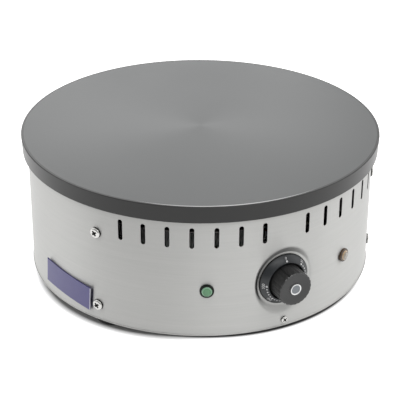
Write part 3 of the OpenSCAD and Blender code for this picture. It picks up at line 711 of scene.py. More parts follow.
class Bench:
    """The modelling steps that the pieces are made with."""

    @staticmethod
    def choose(*pieces: bpy.types.Object) -> None:
        """Selects some pieces and nothing else, the first as the active one.

        Args:
            *pieces: the pieces, or none to deselect all.
        """
        for item in bpy.context.selected_objects:
            item.select_set(False)
        for piece in pieces:
            piece.select_set(True)
        if pieces:
            bpy.context.view_layer.objects.active = pieces[0]

    @staticmethod
    def primitive(name: str, add: Callable[..., object], **settings: object) -> bpy.types.Object:
        """Adds a primitive.

        Args:
            name: the new piece's name.
            add: the operator that adds it.
            **settings: the operator's own settings.

        Returns:
            The new object.
        """
        Bench.choose()
        add(**settings)
        piece = bpy.context.object
        piece.name = name
        piece.data.name = name
        return piece

    @staticmethod
    @contextmanager
    def editing(piece: bpy.types.Object) -> Iterator[bmesh.types.BMesh]:
        """Opens a piece in edit mode.

        Args:
            piece: the object to edit.

        Yields:
            Its edit mesh, whose changes are written back at the end.
        """
        Bench.choose(piece)
        bpy.ops.object.mode_set(mode="EDIT")
        bpy.ops.mesh.select_mode(type="VERT")
        try:
            yield bmesh.from_edit_mesh(piece.data)
            bmesh.update_edit_mesh(piece.data)
        finally:
            bpy.ops.object.mode_set(mode="OBJECT")

    @staticmethod
    def pull(piece: bpy.types.Object, place: Callable[[Vector], Vector]) -> None:
        """Extrudes the selected edges and puts each new point where it belongs.

        Args:
            piece: the object in edit mode.
            place: gives a new point's place from the old point's.
        """
        bpy.ops.mesh.extrude_edges_move()
        mesh = bmesh.from_edit_mesh(piece.data)
        for vert in mesh.verts:
            if vert.select:
                vert.co = place(vert.co)
        bmesh.update_edit_mesh(piece.data)

    @staticmethod
    def drop(piece: bpy.types.Object, rule: Callable[[Vector], bool]) -> None:
        """Deletes the faces of a piece in edit mode whose middles a rule picks.

        Args:
            piece: the object in edit mode.
            rule: tells from a face's middle whether it goes.
        """
        bpy.ops.mesh.select_mode(type="FACE")
        bpy.ops.mesh.select_all(action="DESELECT")
        for face in bmesh.from_edit_mesh(piece.data).faces:
            if rule(face.calc_center_median()):
                face.select_set(True)
        bpy.ops.mesh.delete(type="FACE")

    @staticmethod
    def pick_rim(piece: bpy.types.Object, rule: Callable[[Vector], bool]) -> None:
        """Selects the open edges of a piece in edit mode whose two ends a rule picks.

        Args:
            piece: the object in edit mode.
            rule: tells whether a point lies on the rim.
        """
        bpy.ops.mesh.select_all(action="DESELECT")
        bpy.ops.mesh.select_mode(type="EDGE")
        for edge in bmesh.from_edit_mesh(piece.data).edges:
            edge.select_set(edge.is_boundary and all(rule(vert.co) for vert in edge.verts))

    @staticmethod
    def close(piece: bpy.types.Object) -> None:
        """Merges what lies together in a piece and points its faces outwards.

        Args:
            piece: the piece.
        """
        with Bench.editing(piece):
            bpy.ops.mesh.select_all(action="SELECT")
            bpy.ops.mesh.remove_doubles(threshold=WELD)
            bpy.ops.mesh.dissolve_degenerate(threshold=WELD)
            bpy.ops.mesh.select_all(action="SELECT")
            bpy.ops.mesh.normals_make_consistent(inside=False)

    @staticmethod
    def turned(name: str, profile: Profile, steps: int) -> bpy.types.Object:
        """Draws a half section and spins it about Z.

        Args:
            name: the new piece's name.
            profile: points of the half section, as radius and height.
            steps: how many faces go round.

        Returns:
            The turned piece, about the world's Z axis.
        """
        piece = Bench.primitive(name, bpy.ops.mesh.primitive_plane_add, size=MM)
        with Bench.editing(piece):
            bpy.ops.mesh.select_all(action="SELECT")
            bpy.ops.mesh.merge(type="CENTER")
            r0, z0 = profile[0]
            bpy.ops.transform.translate(value=(r0, 0, z0))
            for (r_a, z_a), (r_b, z_b) in zip(profile, profile[1:]):
                step = (r_b - r_a, 0, z_b - z_a)
                bpy.ops.mesh.extrude_vertices_move(TRANSFORM_OT_translate={"value": step})
            bpy.ops.mesh.select_all(action="SELECT")
            bpy.ops.mesh.spin(steps=steps, angle=math.tau, center=(0, 0, 0), axis=(0, 0, 1))
        Bench.close(piece)
        return piece

    @staticmethod
    def reshape(piece: bpy.types.Object, place: Callable[[Vector], Vector]) -> None:
        """Moves each point of a piece to the place that a rule gives it."""
        for vert in piece.data.vertices:
            vert.co = place(vert.co)

    @staticmethod
    def seat(piece: bpy.types.Object, centre: Vector, towards: Vector) -> None:
        """Stands a piece on a point with its Z axis along a direction, and applies that place.

        Args:
            piece: the piece, modelled about the world's Z axis.
            centre: where its origin goes.
            towards: where its Z axis goes; its Y axis stays as upright as it can.
        """
        z_axis = towards.normalized()
        x_axis = Vector((0, 0, 1)).cross(z_axis).normalized()
        turn = Matrix((x_axis, z_axis.cross(x_axis), z_axis)).transposed()
        piece.matrix_world = Matrix.Translation(centre) @ turn.to_4x4()
        Bench.choose(piece)
        bpy.ops.object.transform_apply(location=True, rotation=True, scale=True)

    @staticmethod
    def modify(piece: bpy.types.Object, kind: str, **settings: object) -> None:
        """Adds a modifier and applies it.

        Args:
            piece: the piece.
            kind: the modifier's type.
            **settings: its settings.
        """
        modifier = piece.modifiers.new(kind.lower(), kind)
        for key, value in settings.items():
            setattr(modifier, key, value)
        Bench.choose(piece)
        bpy.ops.object.modifier_apply(modifier=modifier.name)

    @staticmethod
    def cut(piece: bpy.types.Object, tool: bpy.types.Object, **settings: object) -> None:
        """Cuts a tool's shape out of a piece, and throws the tool away."""
        Bench.modify(piece, "BOOLEAN", object=tool, operation="DIFFERENCE", solver="EXACT", **settings)
        bpy.data.objects.remove(tool)

    @staticmethod
    def join(pieces: list[bpy.types.Object]) -> None:
        """Joins some pieces into the first."""
        Bench.choose(*pieces)
        bpy.ops.object.join()

    @staticmethod
    def copy_of(piece: bpy.types.Object) -> bpy.types.Object:
        """Copies a piece.

        Args:
            piece: the piece to copy.

        Returns:
            The copy, which has a mesh of its own.
        """
        twin = piece.copy()
        twin.data = piece.data.copy()
        bpy.context.collection.objects.link(twin)
        return twin

    @staticmethod
    def coat(piece: bpy.types.Object, *finishes: Finish) -> None:
        """Gives a piece its materials, in order."""
        for finish in finishes:
            piece.data.materials.append(finish.material())

    @staticmethod
    def mask(piece: bpy.types.Object, rule: Callable[[bpy.types.MeshPolygon], int]) -> None:
        """Gives each face of a piece the material whose number a rule gives."""
        for face in piece.data.polygons:
            face.material_index = int(rule(face))

    @staticmethod
    def smooth(piece: bpy.types.Object, degrees: float) -> None:
        """Shades a piece smooth, apart from edges sharper than an angle."""
        Bench.choose(piece)
        bpy.ops.object.shade_smooth_by_angle(angle=math.radians(degrees))

    @staticmethod
    def finish(piece: bpy.types.Object, slot: str, *nodes: str, body: str = BODY) -> None:
        """Gives a piece its finish and its body, and hides the CAD nodes that it stands for.

        Args:
            piece: the finished mesh.
            slot: the record's material slot.
            *nodes: the CAD nodes that it replaces.
            body: the body that it rides on.
        """
        if not piece.data.materials:
            Bench.coat(piece, FINISHES[slot])
        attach(piece, body)
        if nodes:
            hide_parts(*nodes)
        log.info("%s: %d faces", piece.name, len(piece.data.polygons))


def polar(degrees: float, radius: float, height: float) -> Vector:
    """A point round the drum, at an angle from the knob towards +X."""
    angle = math.radians(degrees)
    return Vector((radius * math.sin(angle), -radius * math.cos(angle), height))


def from_axis(face: bpy.types.MeshPolygon) -> float:
    """How far a face's middle lies from the axis that its piece was turned about."""
    return math.hypot(face.center.x, face.center.y)


def soft_min(a: float, b: float, width: float) -> float:
    """The smaller of two lengths, rounded over a width where they cross."""
    share = max(0.0, min(1.0, 0.5 + 0.5 * (b - a) / width))
    return b * (1 - share) + a * share - width * share * (1 - share)


# ---------------------------------------------------------------- drum


@dataclass
class Drum:
    """The slotted steel drum with its pressed recess and its turned-out lower edge.

    Attributes:
        radius: outside radius of the wall.
        wall: thickness of the sheet.
        low: height of its lower edge.
        high: height of its upper edge.
        lip: how far the lower edge is turned out.
        lip_steps: faces across the turned-out edge.
        column: widest gap between two of the sheet's upright grid lines, in degrees.
        merge: gap under which two of them are one.
        slot_z: height of the slots' middle.
        slot_w: width of a slot.
        slot_l: length of a slot.
        slot_pitch: degrees from one slot to the next.
        slots: slots on each side of the knob, and of the rear.
        slot_cols: faces across a slot.
        slot_rim: height of the row of faces above and below a slot's ends.
        recess_z: height of the recess's middle.
        seat_r: radius of its flat seat.
        seat_y: distance of the seat from the drum's axis.
        seat_rings: radii of the rings on the seat.
        flare: slope of the recess's flare from the seat's plane, in degrees.
        flare_rings: rings on the flare.
        ring_gap: distance from one of them to the next.
        bore_r: radius of the hole for the control's neck.
        field: half width of the square of sheet that the recess is pressed into.
        field_rows: rows of faces in half the field.
        margin: distance from the field's sides to the first ring.
        lip_fold: width over which the flare rounds into the drum.
        seat_fold: width over which the seat rounds into the flare.
    """

    radius: float = DRUM_R
    wall: float = 0.8 * MM
    low: float = 11 * MM
    high: float = 146.4 * MM
    lip: float = 0.8 * MM
    lip_steps: int = 6
    column: float = 1.6
    merge: float = 0.02
    slot_z: float = 127 * MM
    slot_w: float = 5 * MM
    slot_l: float = 23.5 * MM
    slot_pitch: float = 7.5
    slots: int = 7
    slot_cols: int = 8
    slot_rim: float = 4 * MM
    recess_z: float = CONTROL_Z
    seat_r: float = 31.5 * MM
    seat_y: float = SEAT_Y
    seat_rings: tuple[float, ...] = (29.5 * MM, 22 * MM, 13 * MM, 7 * MM)
    flare: float = 33.0
    flare_rings: int = 25
    ring_gap: float = 0.6 * MM
    bore_r: float = 5.3 * MM
    field: float = 46.5 * MM
    field_rows: int = 10
    margin: float = 1.5 * MM
    lip_fold: float = 1.6 * MM
    seat_fold: float = 0.6 * MM

    def build(self) -> None:
        """Models the wall and puts it in place of the CAD wall."""
        piece = self.rolled_sheet()
        self.punch_slots(piece)
        self.press_recess(piece)
        self.turn_out_lip(piece)
        Bench.modify(piece, "SOLIDIFY", thickness=self.wall, offset=-1.0, use_even_offset=True)
        Bench.smooth(piece, degrees=40.0)
        Bench.finish(piece, "steel_drum", "drum_wall")

    @property
    def straight(self) -> float:
        """Half the length of a slot's straight sides."""
        return (self.slot_l - self.slot_w) / 2

    @property
    def lip_z(self) -> float:
        """Height at which the wall starts to turn out."""
        return self.low + 2 * self.lip

    def slot_angles(self) -> list[float]:
        """Angles of all the slots, front and rear."""
        steps = [k * self.slot_pitch for k in range(-self.slots, self.slots + 1) if k]
        return steps + [(180 + a) if a < 0 else (a - 180) for a in steps]

    def columns(self) -> list[float]:
        """Places the sheet's upright grid lines: close ones across each slot, and even ones between.

        Returns:
            Their angles in degrees, in order.
        """
        half = self.slot_cols // 2
        across = [math.degrees(self.slot_w / 2 * math.sin(math.pi * k / self.slot_cols) / self.radius)
                  for k in range(-half, half + 1)]
        side = math.degrees(math.asin(self.field / self.radius))
        lines = sorted([a + d for a in self.slot_angles() for d in across] + [-180.0, -side, side, 180.0])
        filled = [lines[0]]
        for line in lines[1:]:
            gap = line - filled[-1]
            if gap < self.merge:
                continue
            count = math.ceil(gap / self.column)
            filled += [filled[-1] + gap * k / count for k in range(1, count)] + [line]
        return filled

    def rows(self) -> list[float]:
        """Places the sheet's level grid lines.

        Returns:
            Their heights, in order.
        """
        steps = range(-self.field_rows, self.field_rows + 1)
        field = [self.recess_z + self.field * k / self.field_rows for k in steps]
        end, past = self.straight, self.straight + self.slot_rim
        return [self.lip_z, *field, *(self.slot_z + d for d in (-past, -end, end, past)), self.high]

    def rolled_sheet(self) -> bpy.types.Object:
        """Rules a strip with the grid lines, rolls it round and closes it at the rear.

        Returns:
            The sheet, without thickness.
        """
        columns, rows = self.columns(), self.rows()
        piece = Bench.primitive(
            "drum", bpy.ops.mesh.primitive_grid_add,
            x_subdivisions=len(columns) - 1, y_subdivisions=len(rows) - 1, size=2.0,
        )
        for vert in piece.data.vertices:
            column = round((vert.co.x + 1) / 2 * (len(columns) - 1))
            row = round((vert.co.y + 1) / 2 * (len(rows) - 1))
            vert.co = polar(columns[column], self.radius, rows[row])
        with Bench.editing(piece):
            bpy.ops.mesh.select_all(action="SELECT")
            bpy.ops.mesh.remove_doubles(threshold=WELD)
            bpy.ops.mesh.normals_make_consistent(inside=False)
        return piece

    def punch_slots(self, piece: bpy.types.Object) -> None:
        """Cuts the slots out of the sheet and rounds their ends.

        Args:
            piece: the rolled sheet.
        """
        half_w = self.slot_w / 2
        spots = [(polar(a, self.radius, self.slot_z), polar(a + 90, 1.0, 0.0)) for a in self.slot_angles()]

        def punched(middle: Vector) -> bool:
            """Tells whether a face lies between the straight sides of a slot.

            Args:
                middle: the face's middle.

            Returns:
                Whether it does.
            """
            return abs(middle.z - self.slot_z) < self.straight and any(
                (middle - spot).length < self.slot_l / 2 and abs((middle - spot).dot(across)) < half_w
                for spot, across in spots
            )

        with Bench.editing(piece):
            Bench.drop(piece, punched)
            mesh = bmesh.from_edit_mesh(piece.data)
            for spot, across in spots:
                for vert in mesh.verts:
                    away = vert.co - spot
                    if away.length > self.slot_l / 2 or abs(abs(away.z) - self.straight) > NEAR:
                        continue
                    side = min(half_w, self.radius * math.asin(min(1.0, abs(away.dot(across)) / self.radius)))
                    vert.co.z += math.copysign(math.sqrt(half_w ** 2 - side ** 2), away.z)

    def press_recess(self, piece: bpy.types.Object) -> None:
        """Opens the field round the control and closes it with rings that are pressed in.

        Args:
            piece: the rolled sheet.
        """
        def in_field(point: Vector) -> bool:
            """Whether a point lies in the field, its sides included."""
            reach = self.field + NEAR
            return abs(point.x) < reach and abs(point.z - self.recess_z) < reach and point.y < 0

        with Bench.editing(piece):
            Bench.drop(piece, in_field)
            Bench.pick_rim(piece, in_field)
            for ring in self.ring_radii():
                Bench.pull(piece, lambda old, ring=ring: self.pressed(old, ring))

    def ring_radii(self) -> list[float]:
        """Radii of the recess's rings, close together over its folds."""
        first = self.field - self.margin
        return [first - self.ring_gap * k for k in range(self.flare_rings)] + [*self.seat_rings, self.bore_r]

    def pressed(self, old: Vector, ring: float) -> Vector:
        """Where a point of the sheet comes to lie on one ring of the recess.

        Args:
            old: the point on the ring outside it.
            ring: the new ring's radius.

        Returns:
            The point's new place.
        """
        across = Vector((old.x, old.z - self.recess_z)).normalized() * ring
        wall_y = math.sqrt(self.radius ** 2 - across.x ** 2)
        fall = (self.seat_r - ring) * math.tan(math.radians(self.flare))
        depth = soft_min(wall_y, self.seat_y - soft_min(0.0, fall, self.seat_fold), self.lip_fold)
        return Vector((across.x, -depth, self.recess_z + across.y))

    def turn_out_lip(self, piece: bpy.types.Object) -> None:
        """Turns the lower edge out in a small quarter round.

        Args:
            piece: the rolled sheet.
        """
        with Bench.editing(piece):
            Bench.pick_rim(piece, lambda point: abs(point.z - self.lip_z) < NEAR)
            for k in range(1, self.lip_steps + 1):
                angle = math.pi / 2 * k / self.lip_steps
                radius = self.radius + self.lip * (1 - math.cos(angle))
                height = self.lip_z - self.lip * math.sin(angle)
                Bench.pull(piece, lambda old, r=radius, h=height: Vector(
                    (old.x, old.y, 0)).normalized() * r + Vector((0, 0, h)))


# ---------------------------------------------------------------- control


@dataclass
class Control:
    """The dial's cone and its print, the fluted knob and its cap.

    Attributes:
        height: height of the knob's axis.
        seat_y: distance of the recess's seat from the drum's axis.
        neck_r: radius of the dial's hole for the thermostat's neck.
        fixing_x: distance of the thermostat's screws from the axis.
        fixing_r: radius of the dial's holes for them.
        dial_r: radius of the dial's edge.
        side_h: height of the dial's edge above the seat.
        cone_h: height of the cone's inner rim above the seat.
        mouth_r: radius of the opening that the knob stands in.
        rim_w: width of the rounded inner rim.
        shell: thickness of the dial's moulding.
        floor_t: thickness of its floor under the knob.
        dot_at: radius of the circle of dots.
        dot_r: radius of a dot.
        big_dot_r: radius of the dot at a number.
        number_at: radius of the circle of numbers.
        number_h: height of the numbers.
        number_share: height of a number, as a share of the type's size.
        bold: how much the strokes are fattened.
        print_t: half the thickness of the print.
        zero_gap: degrees from 0 to the first number.
        number_gap: degrees from one number to the next.
        knob_r: radius of the knob.
        knob_y: distance of the knob's back from the drum's axis.
        knob_l: length of the knob.
        chamfer: width of the shiny chamfer round its face.
        skirt: thickness of its side.
        side_rows: where the rows of faces up its side start, in mm from the back.
        floor_z: how far in its hollow goes from the back.
        hub_r: radius of the hub in the hollow.
        shaft_r: radius of the hole for the spindle.
        shaft_z: depth of that hole.
        flutes: finger flutes round the knob.
        flute_depth: depth of a flute.
        flute_z: where the flutes start, from the knob's back.
        flute_rise: length over which they grow to their depth.
        index: degrees that the knob's mark stands before the dial's zero.
        index_w: width of the mark.
        index_d: its depth.
        cap_r: radius of the cap.
        cap_z: depth of the seat that the cap stands on, below the knob's face.
        cap_gap: gap between the cap and its hole.
    """

    height: float = CONTROL_Z
    seat_y: float = SEAT_Y
    neck_r: float = 5.3 * MM
    fixing_x: float = 14.0 * MM
    fixing_r: float = 2.3 * MM
    dial_r: float = 28.9 * MM
    side_h: float = 1.8 * MM
    cone_h: float = 7.9 * MM
    mouth_r: float = 21.0 * MM
    rim_w: float = 1.2 * MM
    shell: float = 1.6 * MM
    floor_t: float = 1.5 * MM
    dot_at: float = 23.5 * MM
    dot_r: float = 0.85 * MM
    big_dot_r: float = 1.15 * MM
    number_at: float = 26.0 * MM
    number_h: float = 3.0 * MM
    number_share: float = 0.7
    bold: float = 0.02 * MM
    print_t: float = 0.06 * MM
    zero_gap: float = 48.3
    number_gap: float = 44.0
    knob_r: float = 18.9 * MM
    knob_y: float = 192.6 * MM
    knob_l: float = 21.6 * MM
    chamfer: float = 0.7 * MM
    skirt: float = 1.7 * MM
    side_rows: tuple[float, ...] = (0, 2, 3.6, 4.6, 5.2, 5.8, 6.6, 8, 11, 14, 17, 20)
    floor_z: float = 10.6 * MM
    hub_r: float = 6.0 * MM
    shaft_r: float = 3.05 * MM
    shaft_z: float = 16.8 * MM
    flutes: int = 24
    flute_depth: float = 0.4 * MM
    flute_z: float = 3.6 * MM
    flute_rise: float = 2.2 * MM
    index: float = 25.0
    index_w: float = 1.5 * MM
    index_d: float = 1.1 * MM
    cap_r: float = 6.3 * MM
    cap_z: float = 1.6 * MM
    cap_gap: float = 0.1 * MM

    def build(self) -> None:
        """Models the dial, its print, the knob and the cap."""
        self.build_dial()
        self.print_scale()
        self.build_knob()
        self.build_cap()

    @property
    def slope(self) -> float:
        """How much the cone rises per length towards the knob."""
        return (self.cone_h - self.side_h) / (self.dial_r - self.mouth_r - self.rim_w)

    def mount(self, piece: bpy.types.Object, out: float, degrees: float) -> None:
        """Stands a turned piece on the knob's axis, at a distance from the drum's, and smooths it."""
        Bench.seat(piece, Vector((0, -out, self.height)), Vector((0, -1, 0)))
        Bench.smooth(piece, degrees)

    def build_dial(self) -> None:
        """Turns the dial: a thin edge, the cone, its rounded inner rim and the sunk floor."""
        r, m, top, side = self.dial_r, self.mouth_r, self.cone_h, self.side_h
        under = side - self.shell * math.hypot(1.0, self.slope)
        inner, thin = m + self.shell, r - self.shell
        hollow = [(self.neck_r, 0.0), (inner, 0.0), (inner, under + self.slope * (r - inner)),
                  (thin, under + self.slope * self.shell), (thin, 0.0)]
        edge = [(r, 0.0), (r, side - 0.5 * MM), (r - 0.08 * MM, side - 0.2 * MM),
                (r - 0.3 * MM, side + 0.1 * MM), (r - 0.6 * MM, side + self.slope * 0.6 * MM)]
        rim = [(m + 1.4 * MM, top - self.slope * 0.2 * MM), (m + 1.1 * MM, top - 0.03 * MM),
               (m + 0.7 * MM, top), (m + 0.35 * MM, top - 0.05 * MM), (m + 0.1 * MM, top - 0.25 * MM),
               (m, top - 0.6 * MM)]
        floor = [(m, self.floor_t), (self.neck_r, self.floor_t), (self.neck_r, 0.0)]
        dial = Bench.turned("dial_cone", hollow + edge + rim + floor, steps=160)
        for x in (-self.fixing_x, self.fixing_x):
            Bench.cut(dial, Bench.primitive("dial_hole", bpy.ops.mesh.primitive_cylinder_add, vertices=32,
                                            radius=self.fixing_r, depth=4 * self.floor_t, location=(x, 0, 0)))
        Bench.coat(dial, FINISHES["dial_black"], DIAL_EDGE)
        # The mouth and the outer edge take the near-black finish: painted shade at the mouth, unprinted black
        # at the edge.
        Bench.mask(dial, lambda face: not m + 0.2 * MM < from_axis(face) < r - 0.45 * MM)
        self.mount(dial, self.seat_y, degrees=28.0)
        Bench.finish(dial, "dial_black", "dial_plate")

    def dial_angle(self, number: int) -> float:
        """Where a temperature stands on the dial, in degrees clockwise from its top."""
        return 0.0 if number == 0 else self.zero_gap + (number - 50) / 50 * self.number_gap

    def print_scale(self) -> None:
        """Prints the numbers and dots as one thin raised piece."""
        parts = [self.number(value) for value in range(0, 301, 50)]
        parts += [self.dot(value) for value in [0, *range(50, 301, 10)]]
        Bench.join(parts)
        scale = parts[0]
        scale.name = "dial_scale"
        scale.data.name = "dial_scale"
        scale.data.materials.clear()
        Bench.coat(scale, PRINT_WHITE)
        Bench.finish(scale, "dial_black")

    def number(self, value: int) -> bpy.types.Object:
        """One number of the scale, its foot towards the knob.

        Args:
            value: the temperature to write.

        Returns:
            The number's thin solid.
        """
        piece = Bench.primitive(f"number_{value}", bpy.ops.object.text_add)
        piece.data.body = str(value)
        piece.data.align_x = "CENTER"
        piece.data.align_y = "CENTER"
        piece.data.size = self.number_h / self.number_share
        piece.data.extrude = self.print_t
        piece.data.offset = self.bold
        piece.data.resolution_u = 3
        bpy.ops.object.convert(target="MESH")
        with Bench.editing(piece):
            bpy.ops.mesh.select_all(action="SELECT")
            bpy.ops.mesh.remove_doubles(threshold=WELD)
        self.lay_on_cone(piece, self.dial_angle(value), self.number_at)
        return piece

    def dot(self, value: int) -> bpy.types.Object:
        """One dot of the scale, larger at the numbers.

        Args:
            value: the temperature that it marks.

        Returns:
            The dot's thin solid.
        """
        radius = self.dot_r if value % 50 else self.big_dot_r
        piece = Bench.primitive(f"dot_{value}", bpy.ops.mesh.primitive_cylinder_add,
                                vertices=20, radius=radius, depth=2 * self.print_t)
        Bench.modify(piece, "BEVEL", width=self.print_t / 2, segments=1)
        self.lay_on_cone(piece, self.dial_angle(value), self.dot_at)
        return piece

    def lay_on_cone(self, piece: bpy.types.Object, degrees: float, radius: float) -> None:
        """Wraps a flat piece on the cone, so that no part of it sinks in or stands off.

        Args:
            piece: the piece, drawn flat about the origin.
            degrees: its angle on the dial, clockwise from the top.
            radius: its distance from the knob's axis.
        """
        lean = math.atan(self.slope)
        face = self.side_h + (self.dial_r - radius) * self.slope

        def wrapped(flat: Vector) -> Vector:
            """Where a point of the flat piece comes to lie.

            Args:
                flat: the point.

            Returns:
                The point's place on the cone.
            """
            out = radius + flat.y * math.cos(lean) + flat.z * math.sin(lean)
            angle = math.radians(degrees) + flat.x / radius
            rise = face - flat.y * math.sin(lean) + flat.z * math.cos(lean)
            return Vector((out * math.sin(angle), -self.seat_y - rise, self.height + out * math.cos(angle)))

        Bench.reshape(piece, wrapped)

    def build_knob(self) -> None:
        """Turns the hollow knob, then works the flutes and the mark into its side."""
        r, end = self.knob_r, self.knob_l
        dish, hole_r, hole_z = end - 0.6 * MM, self.cap_r + self.cap_gap, end - self.cap_z
        hub, inner = self.hub_r, r - self.skirt
        hollow = [(0.0, self.shaft_z), (self.shaft_r, self.shaft_z), (self.shaft_r, 0.0), (hub, 0.0),
                  (hub, self.floor_z), (inner, self.floor_z), (inner, 0.0)]
        side = [(r, z * MM) for z in self.side_rows]
        edge = [(r, end - self.chamfer), (r - self.chamfer, end)]
        face = [(r - 2.6 * MM, end), (r - 3.4 * MM, end - 0.04 * MM),
                (self.cap_r + 4.2 * MM, dish + 0.1 * MM), (self.cap_r + 3.2 * MM, dish),
                (hole_r, dish), (hole_r, hole_z), (0.0, hole_z)]
        knob = Bench.turned("knob_body", hollow + side + edge + face, steps=self.flutes * 12)
        Bench.coat(knob, FINISHES["knob_black"], KNOB_RIM)
        cut = self.chamfer
        Bench.mask(knob, lambda part: from_axis(part) > r - cut and part.center.z > end - cut)
        Bench.reshape(knob, self.fluted)
        self.mount(knob, self.knob_y, degrees=30.0)
        Bench.finish(knob, "knob_black", "knob", body=KNOB_BODY)

    def fluted(self, point: Vector) -> Vector:
        """A point of the knob's side, pushed in where a flute or the mark runs.

        Args:
            point: the point on the plain turned knob.

        Returns:
            The point's new place.
        """
        radius = math.hypot(point.x, point.y)
        if radius < self.knob_r - 1.2 * MM:
            return point
        angle = math.atan2(point.x, point.y)
        rise = max(0.0, min(1.0, (point.z - self.flute_z) / self.flute_rise))
        wave = 0.5 + 0.5 * math.cos(self.flutes * (angle + math.pi / self.flutes))
        push = self.flute_depth * wave ** 2 * rise
        away = abs(angle + math.radians(self.index)) * self.knob_r
        push = max(push, self.index_d) if away < self.index_w / 2 else push
        share = (radius - push) / radius
        return Vector((point.x * share, point.y * share, point.z))

    def build_cap(self) -> None:
        """Turns the cap: a raised bright ring round a plain satin disc."""
        r, seat = self.cap_r, self.knob_l - self.cap_z
        top, low = self.knob_l + 0.8 * MM, self.knob_l + 0.3 * MM
        ring = [(r, seat), (r, top - 0.4 * MM), (r - 0.15 * MM, top - 0.1 * MM), (r - 0.4 * MM, top),
                (r - 0.8 * MM, top), (r - 1.1 * MM, top - 0.1 * MM), (r - 1.35 * MM, low + 0.05 * MM)]
        disc = [(r - 1.6 * MM, low), (3 * MM, low), (0.0, low)]
        cap = Bench.turned("cap_disc", [(0.0, seat), *ring, *disc], steps=64)
        Bench.coat(cap, FINISHES["cap_silver"], CAP_FACE)
        Bench.mask(cap, lambda face: from_axis(face) < r - 1.4 * MM and face.center.z > low - 0.1 * MM)
        self.mount(cap, self.knob_y, degrees=40.0)
        Bench.finish(cap, "cap_silver", "knob_cap", body=KNOB_BODY)


# ---------------------------------------------------------------- pilot lamps


class Tint(Enum):
    """The two pilot lamps, with their node prefix, lens slot and bezel slot."""

    GREEN = ("green_lamp", "lens_green", "lamp_dark_green")
    AMBER = ("amber_lamp", "lens_amber", "lamp_brown")


# Paler lens colours for the bevel rings: a painted highlight.
LENS_BEVEL_HIGHLIGHT = {
    Tint.GREEN: TintedLens("green_bevel_highlight", (0.34, 0.66, 0.42), 0.12, clear=0.1),
    Tint.AMBER: TintedLens("amber_bevel_highlight", (0.68, 0.47, 0.26), 0.1, clear=0.1),
}


@dataclass
class PilotLamp:
    """A round pilot lamp: a bezel on the drum and a bevelled lens that stands out of it.

    Attributes:
        tint: which of the two lamps it is.
        angle: degrees round the drum from the knob.
        height: height of its axis.
        drum_r: radius of the drum that it sits on.
        bezel_r: radius of the bezel.
        bezel_h: height of the bezel.
        lens_r: radius of the lens.
        lens_h: height of the lens's face.
        bevel: width of the lens's bevel.
        foot: how far the lens's back stands off the drum.
        gap: gap between the lens and the bezel.
    """

    tint: Tint
    angle: float
    height: float = CONTROL_Z
    drum_r: float = DRUM_R
    bezel_r: float = 7.6 * MM
    bezel_h: float = 2.7 * MM
    lens_r: float = 5.5 * MM
    lens_h: float = 3.7 * MM
    bevel: float = 1.1 * MM
    foot: float = 0.2 * MM
    gap: float = 0.05 * MM

    def build(self) -> None:
        """Turns the lens and the bezel and stands them on the drum; the lens's bevel is painted paler, a
        painted highlight.
        """
        prefix, lens_slot, bezel_slot = self.tint.value
        r, b, top, rim, hole = self.lens_r, self.bezel_r, self.lens_h, self.bezel_h, self.lens_r + self.gap
        step, face_r = top - self.bevel * 0.8, r - self.bevel
        glass = [(0.0, self.foot), (r, self.foot), (r, step), (r - 0.1 * MM, step + 0.15 * MM),
                 (face_r, top - 0.05 * MM), (face_r - 0.15 * MM, top), (0.0, top + 0.1 * MM)]
        lens = Bench.turned(prefix + "_glass", glass, steps=48)
        Bench.coat(lens, FINISHES[lens_slot], LENS_BEVEL_HIGHLIGHT[self.tint])
        # The bevel ring takes the paler colour: a painted highlight.
        Bench.mask(lens, lambda face: face_r < from_axis(face) < r and face.center.z > MM)
        self.stand(lens, lens_slot, prefix + "_lens")
        bezel = [(hole, 0.0), (b, 0.0), (b, rim - 1.1 * MM), (b - 0.1 * MM, rim - 0.6 * MM),
                 (b - 0.35 * MM, rim - 0.2 * MM), (b - 0.8 * MM, rim), (r + 0.35 * MM, rim),
                 (hole, rim - 0.25 * MM), (hole, 0.0)]
        self.stand(Bench.turned(prefix + "_bezel", bezel, steps=64), bezel_slot)

    def stand(self, piece: bpy.types.Object, slot: str, *nodes: str) -> None:
        """Stands a turned piece on the drum at the lamp's place.

        Args:
            piece: the turned piece.
            slot: its material slot.
            *nodes: the CAD nodes that it replaces.
        """
        Bench.seat(piece, polar(self.angle, self.drum_r, self.height), polar(self.angle, 1.0, 0.0))
        Bench.smooth(piece, degrees=30.0)
        Bench.finish(piece, slot, *nodes)


# ---------------------------------------------------------------- nameplate


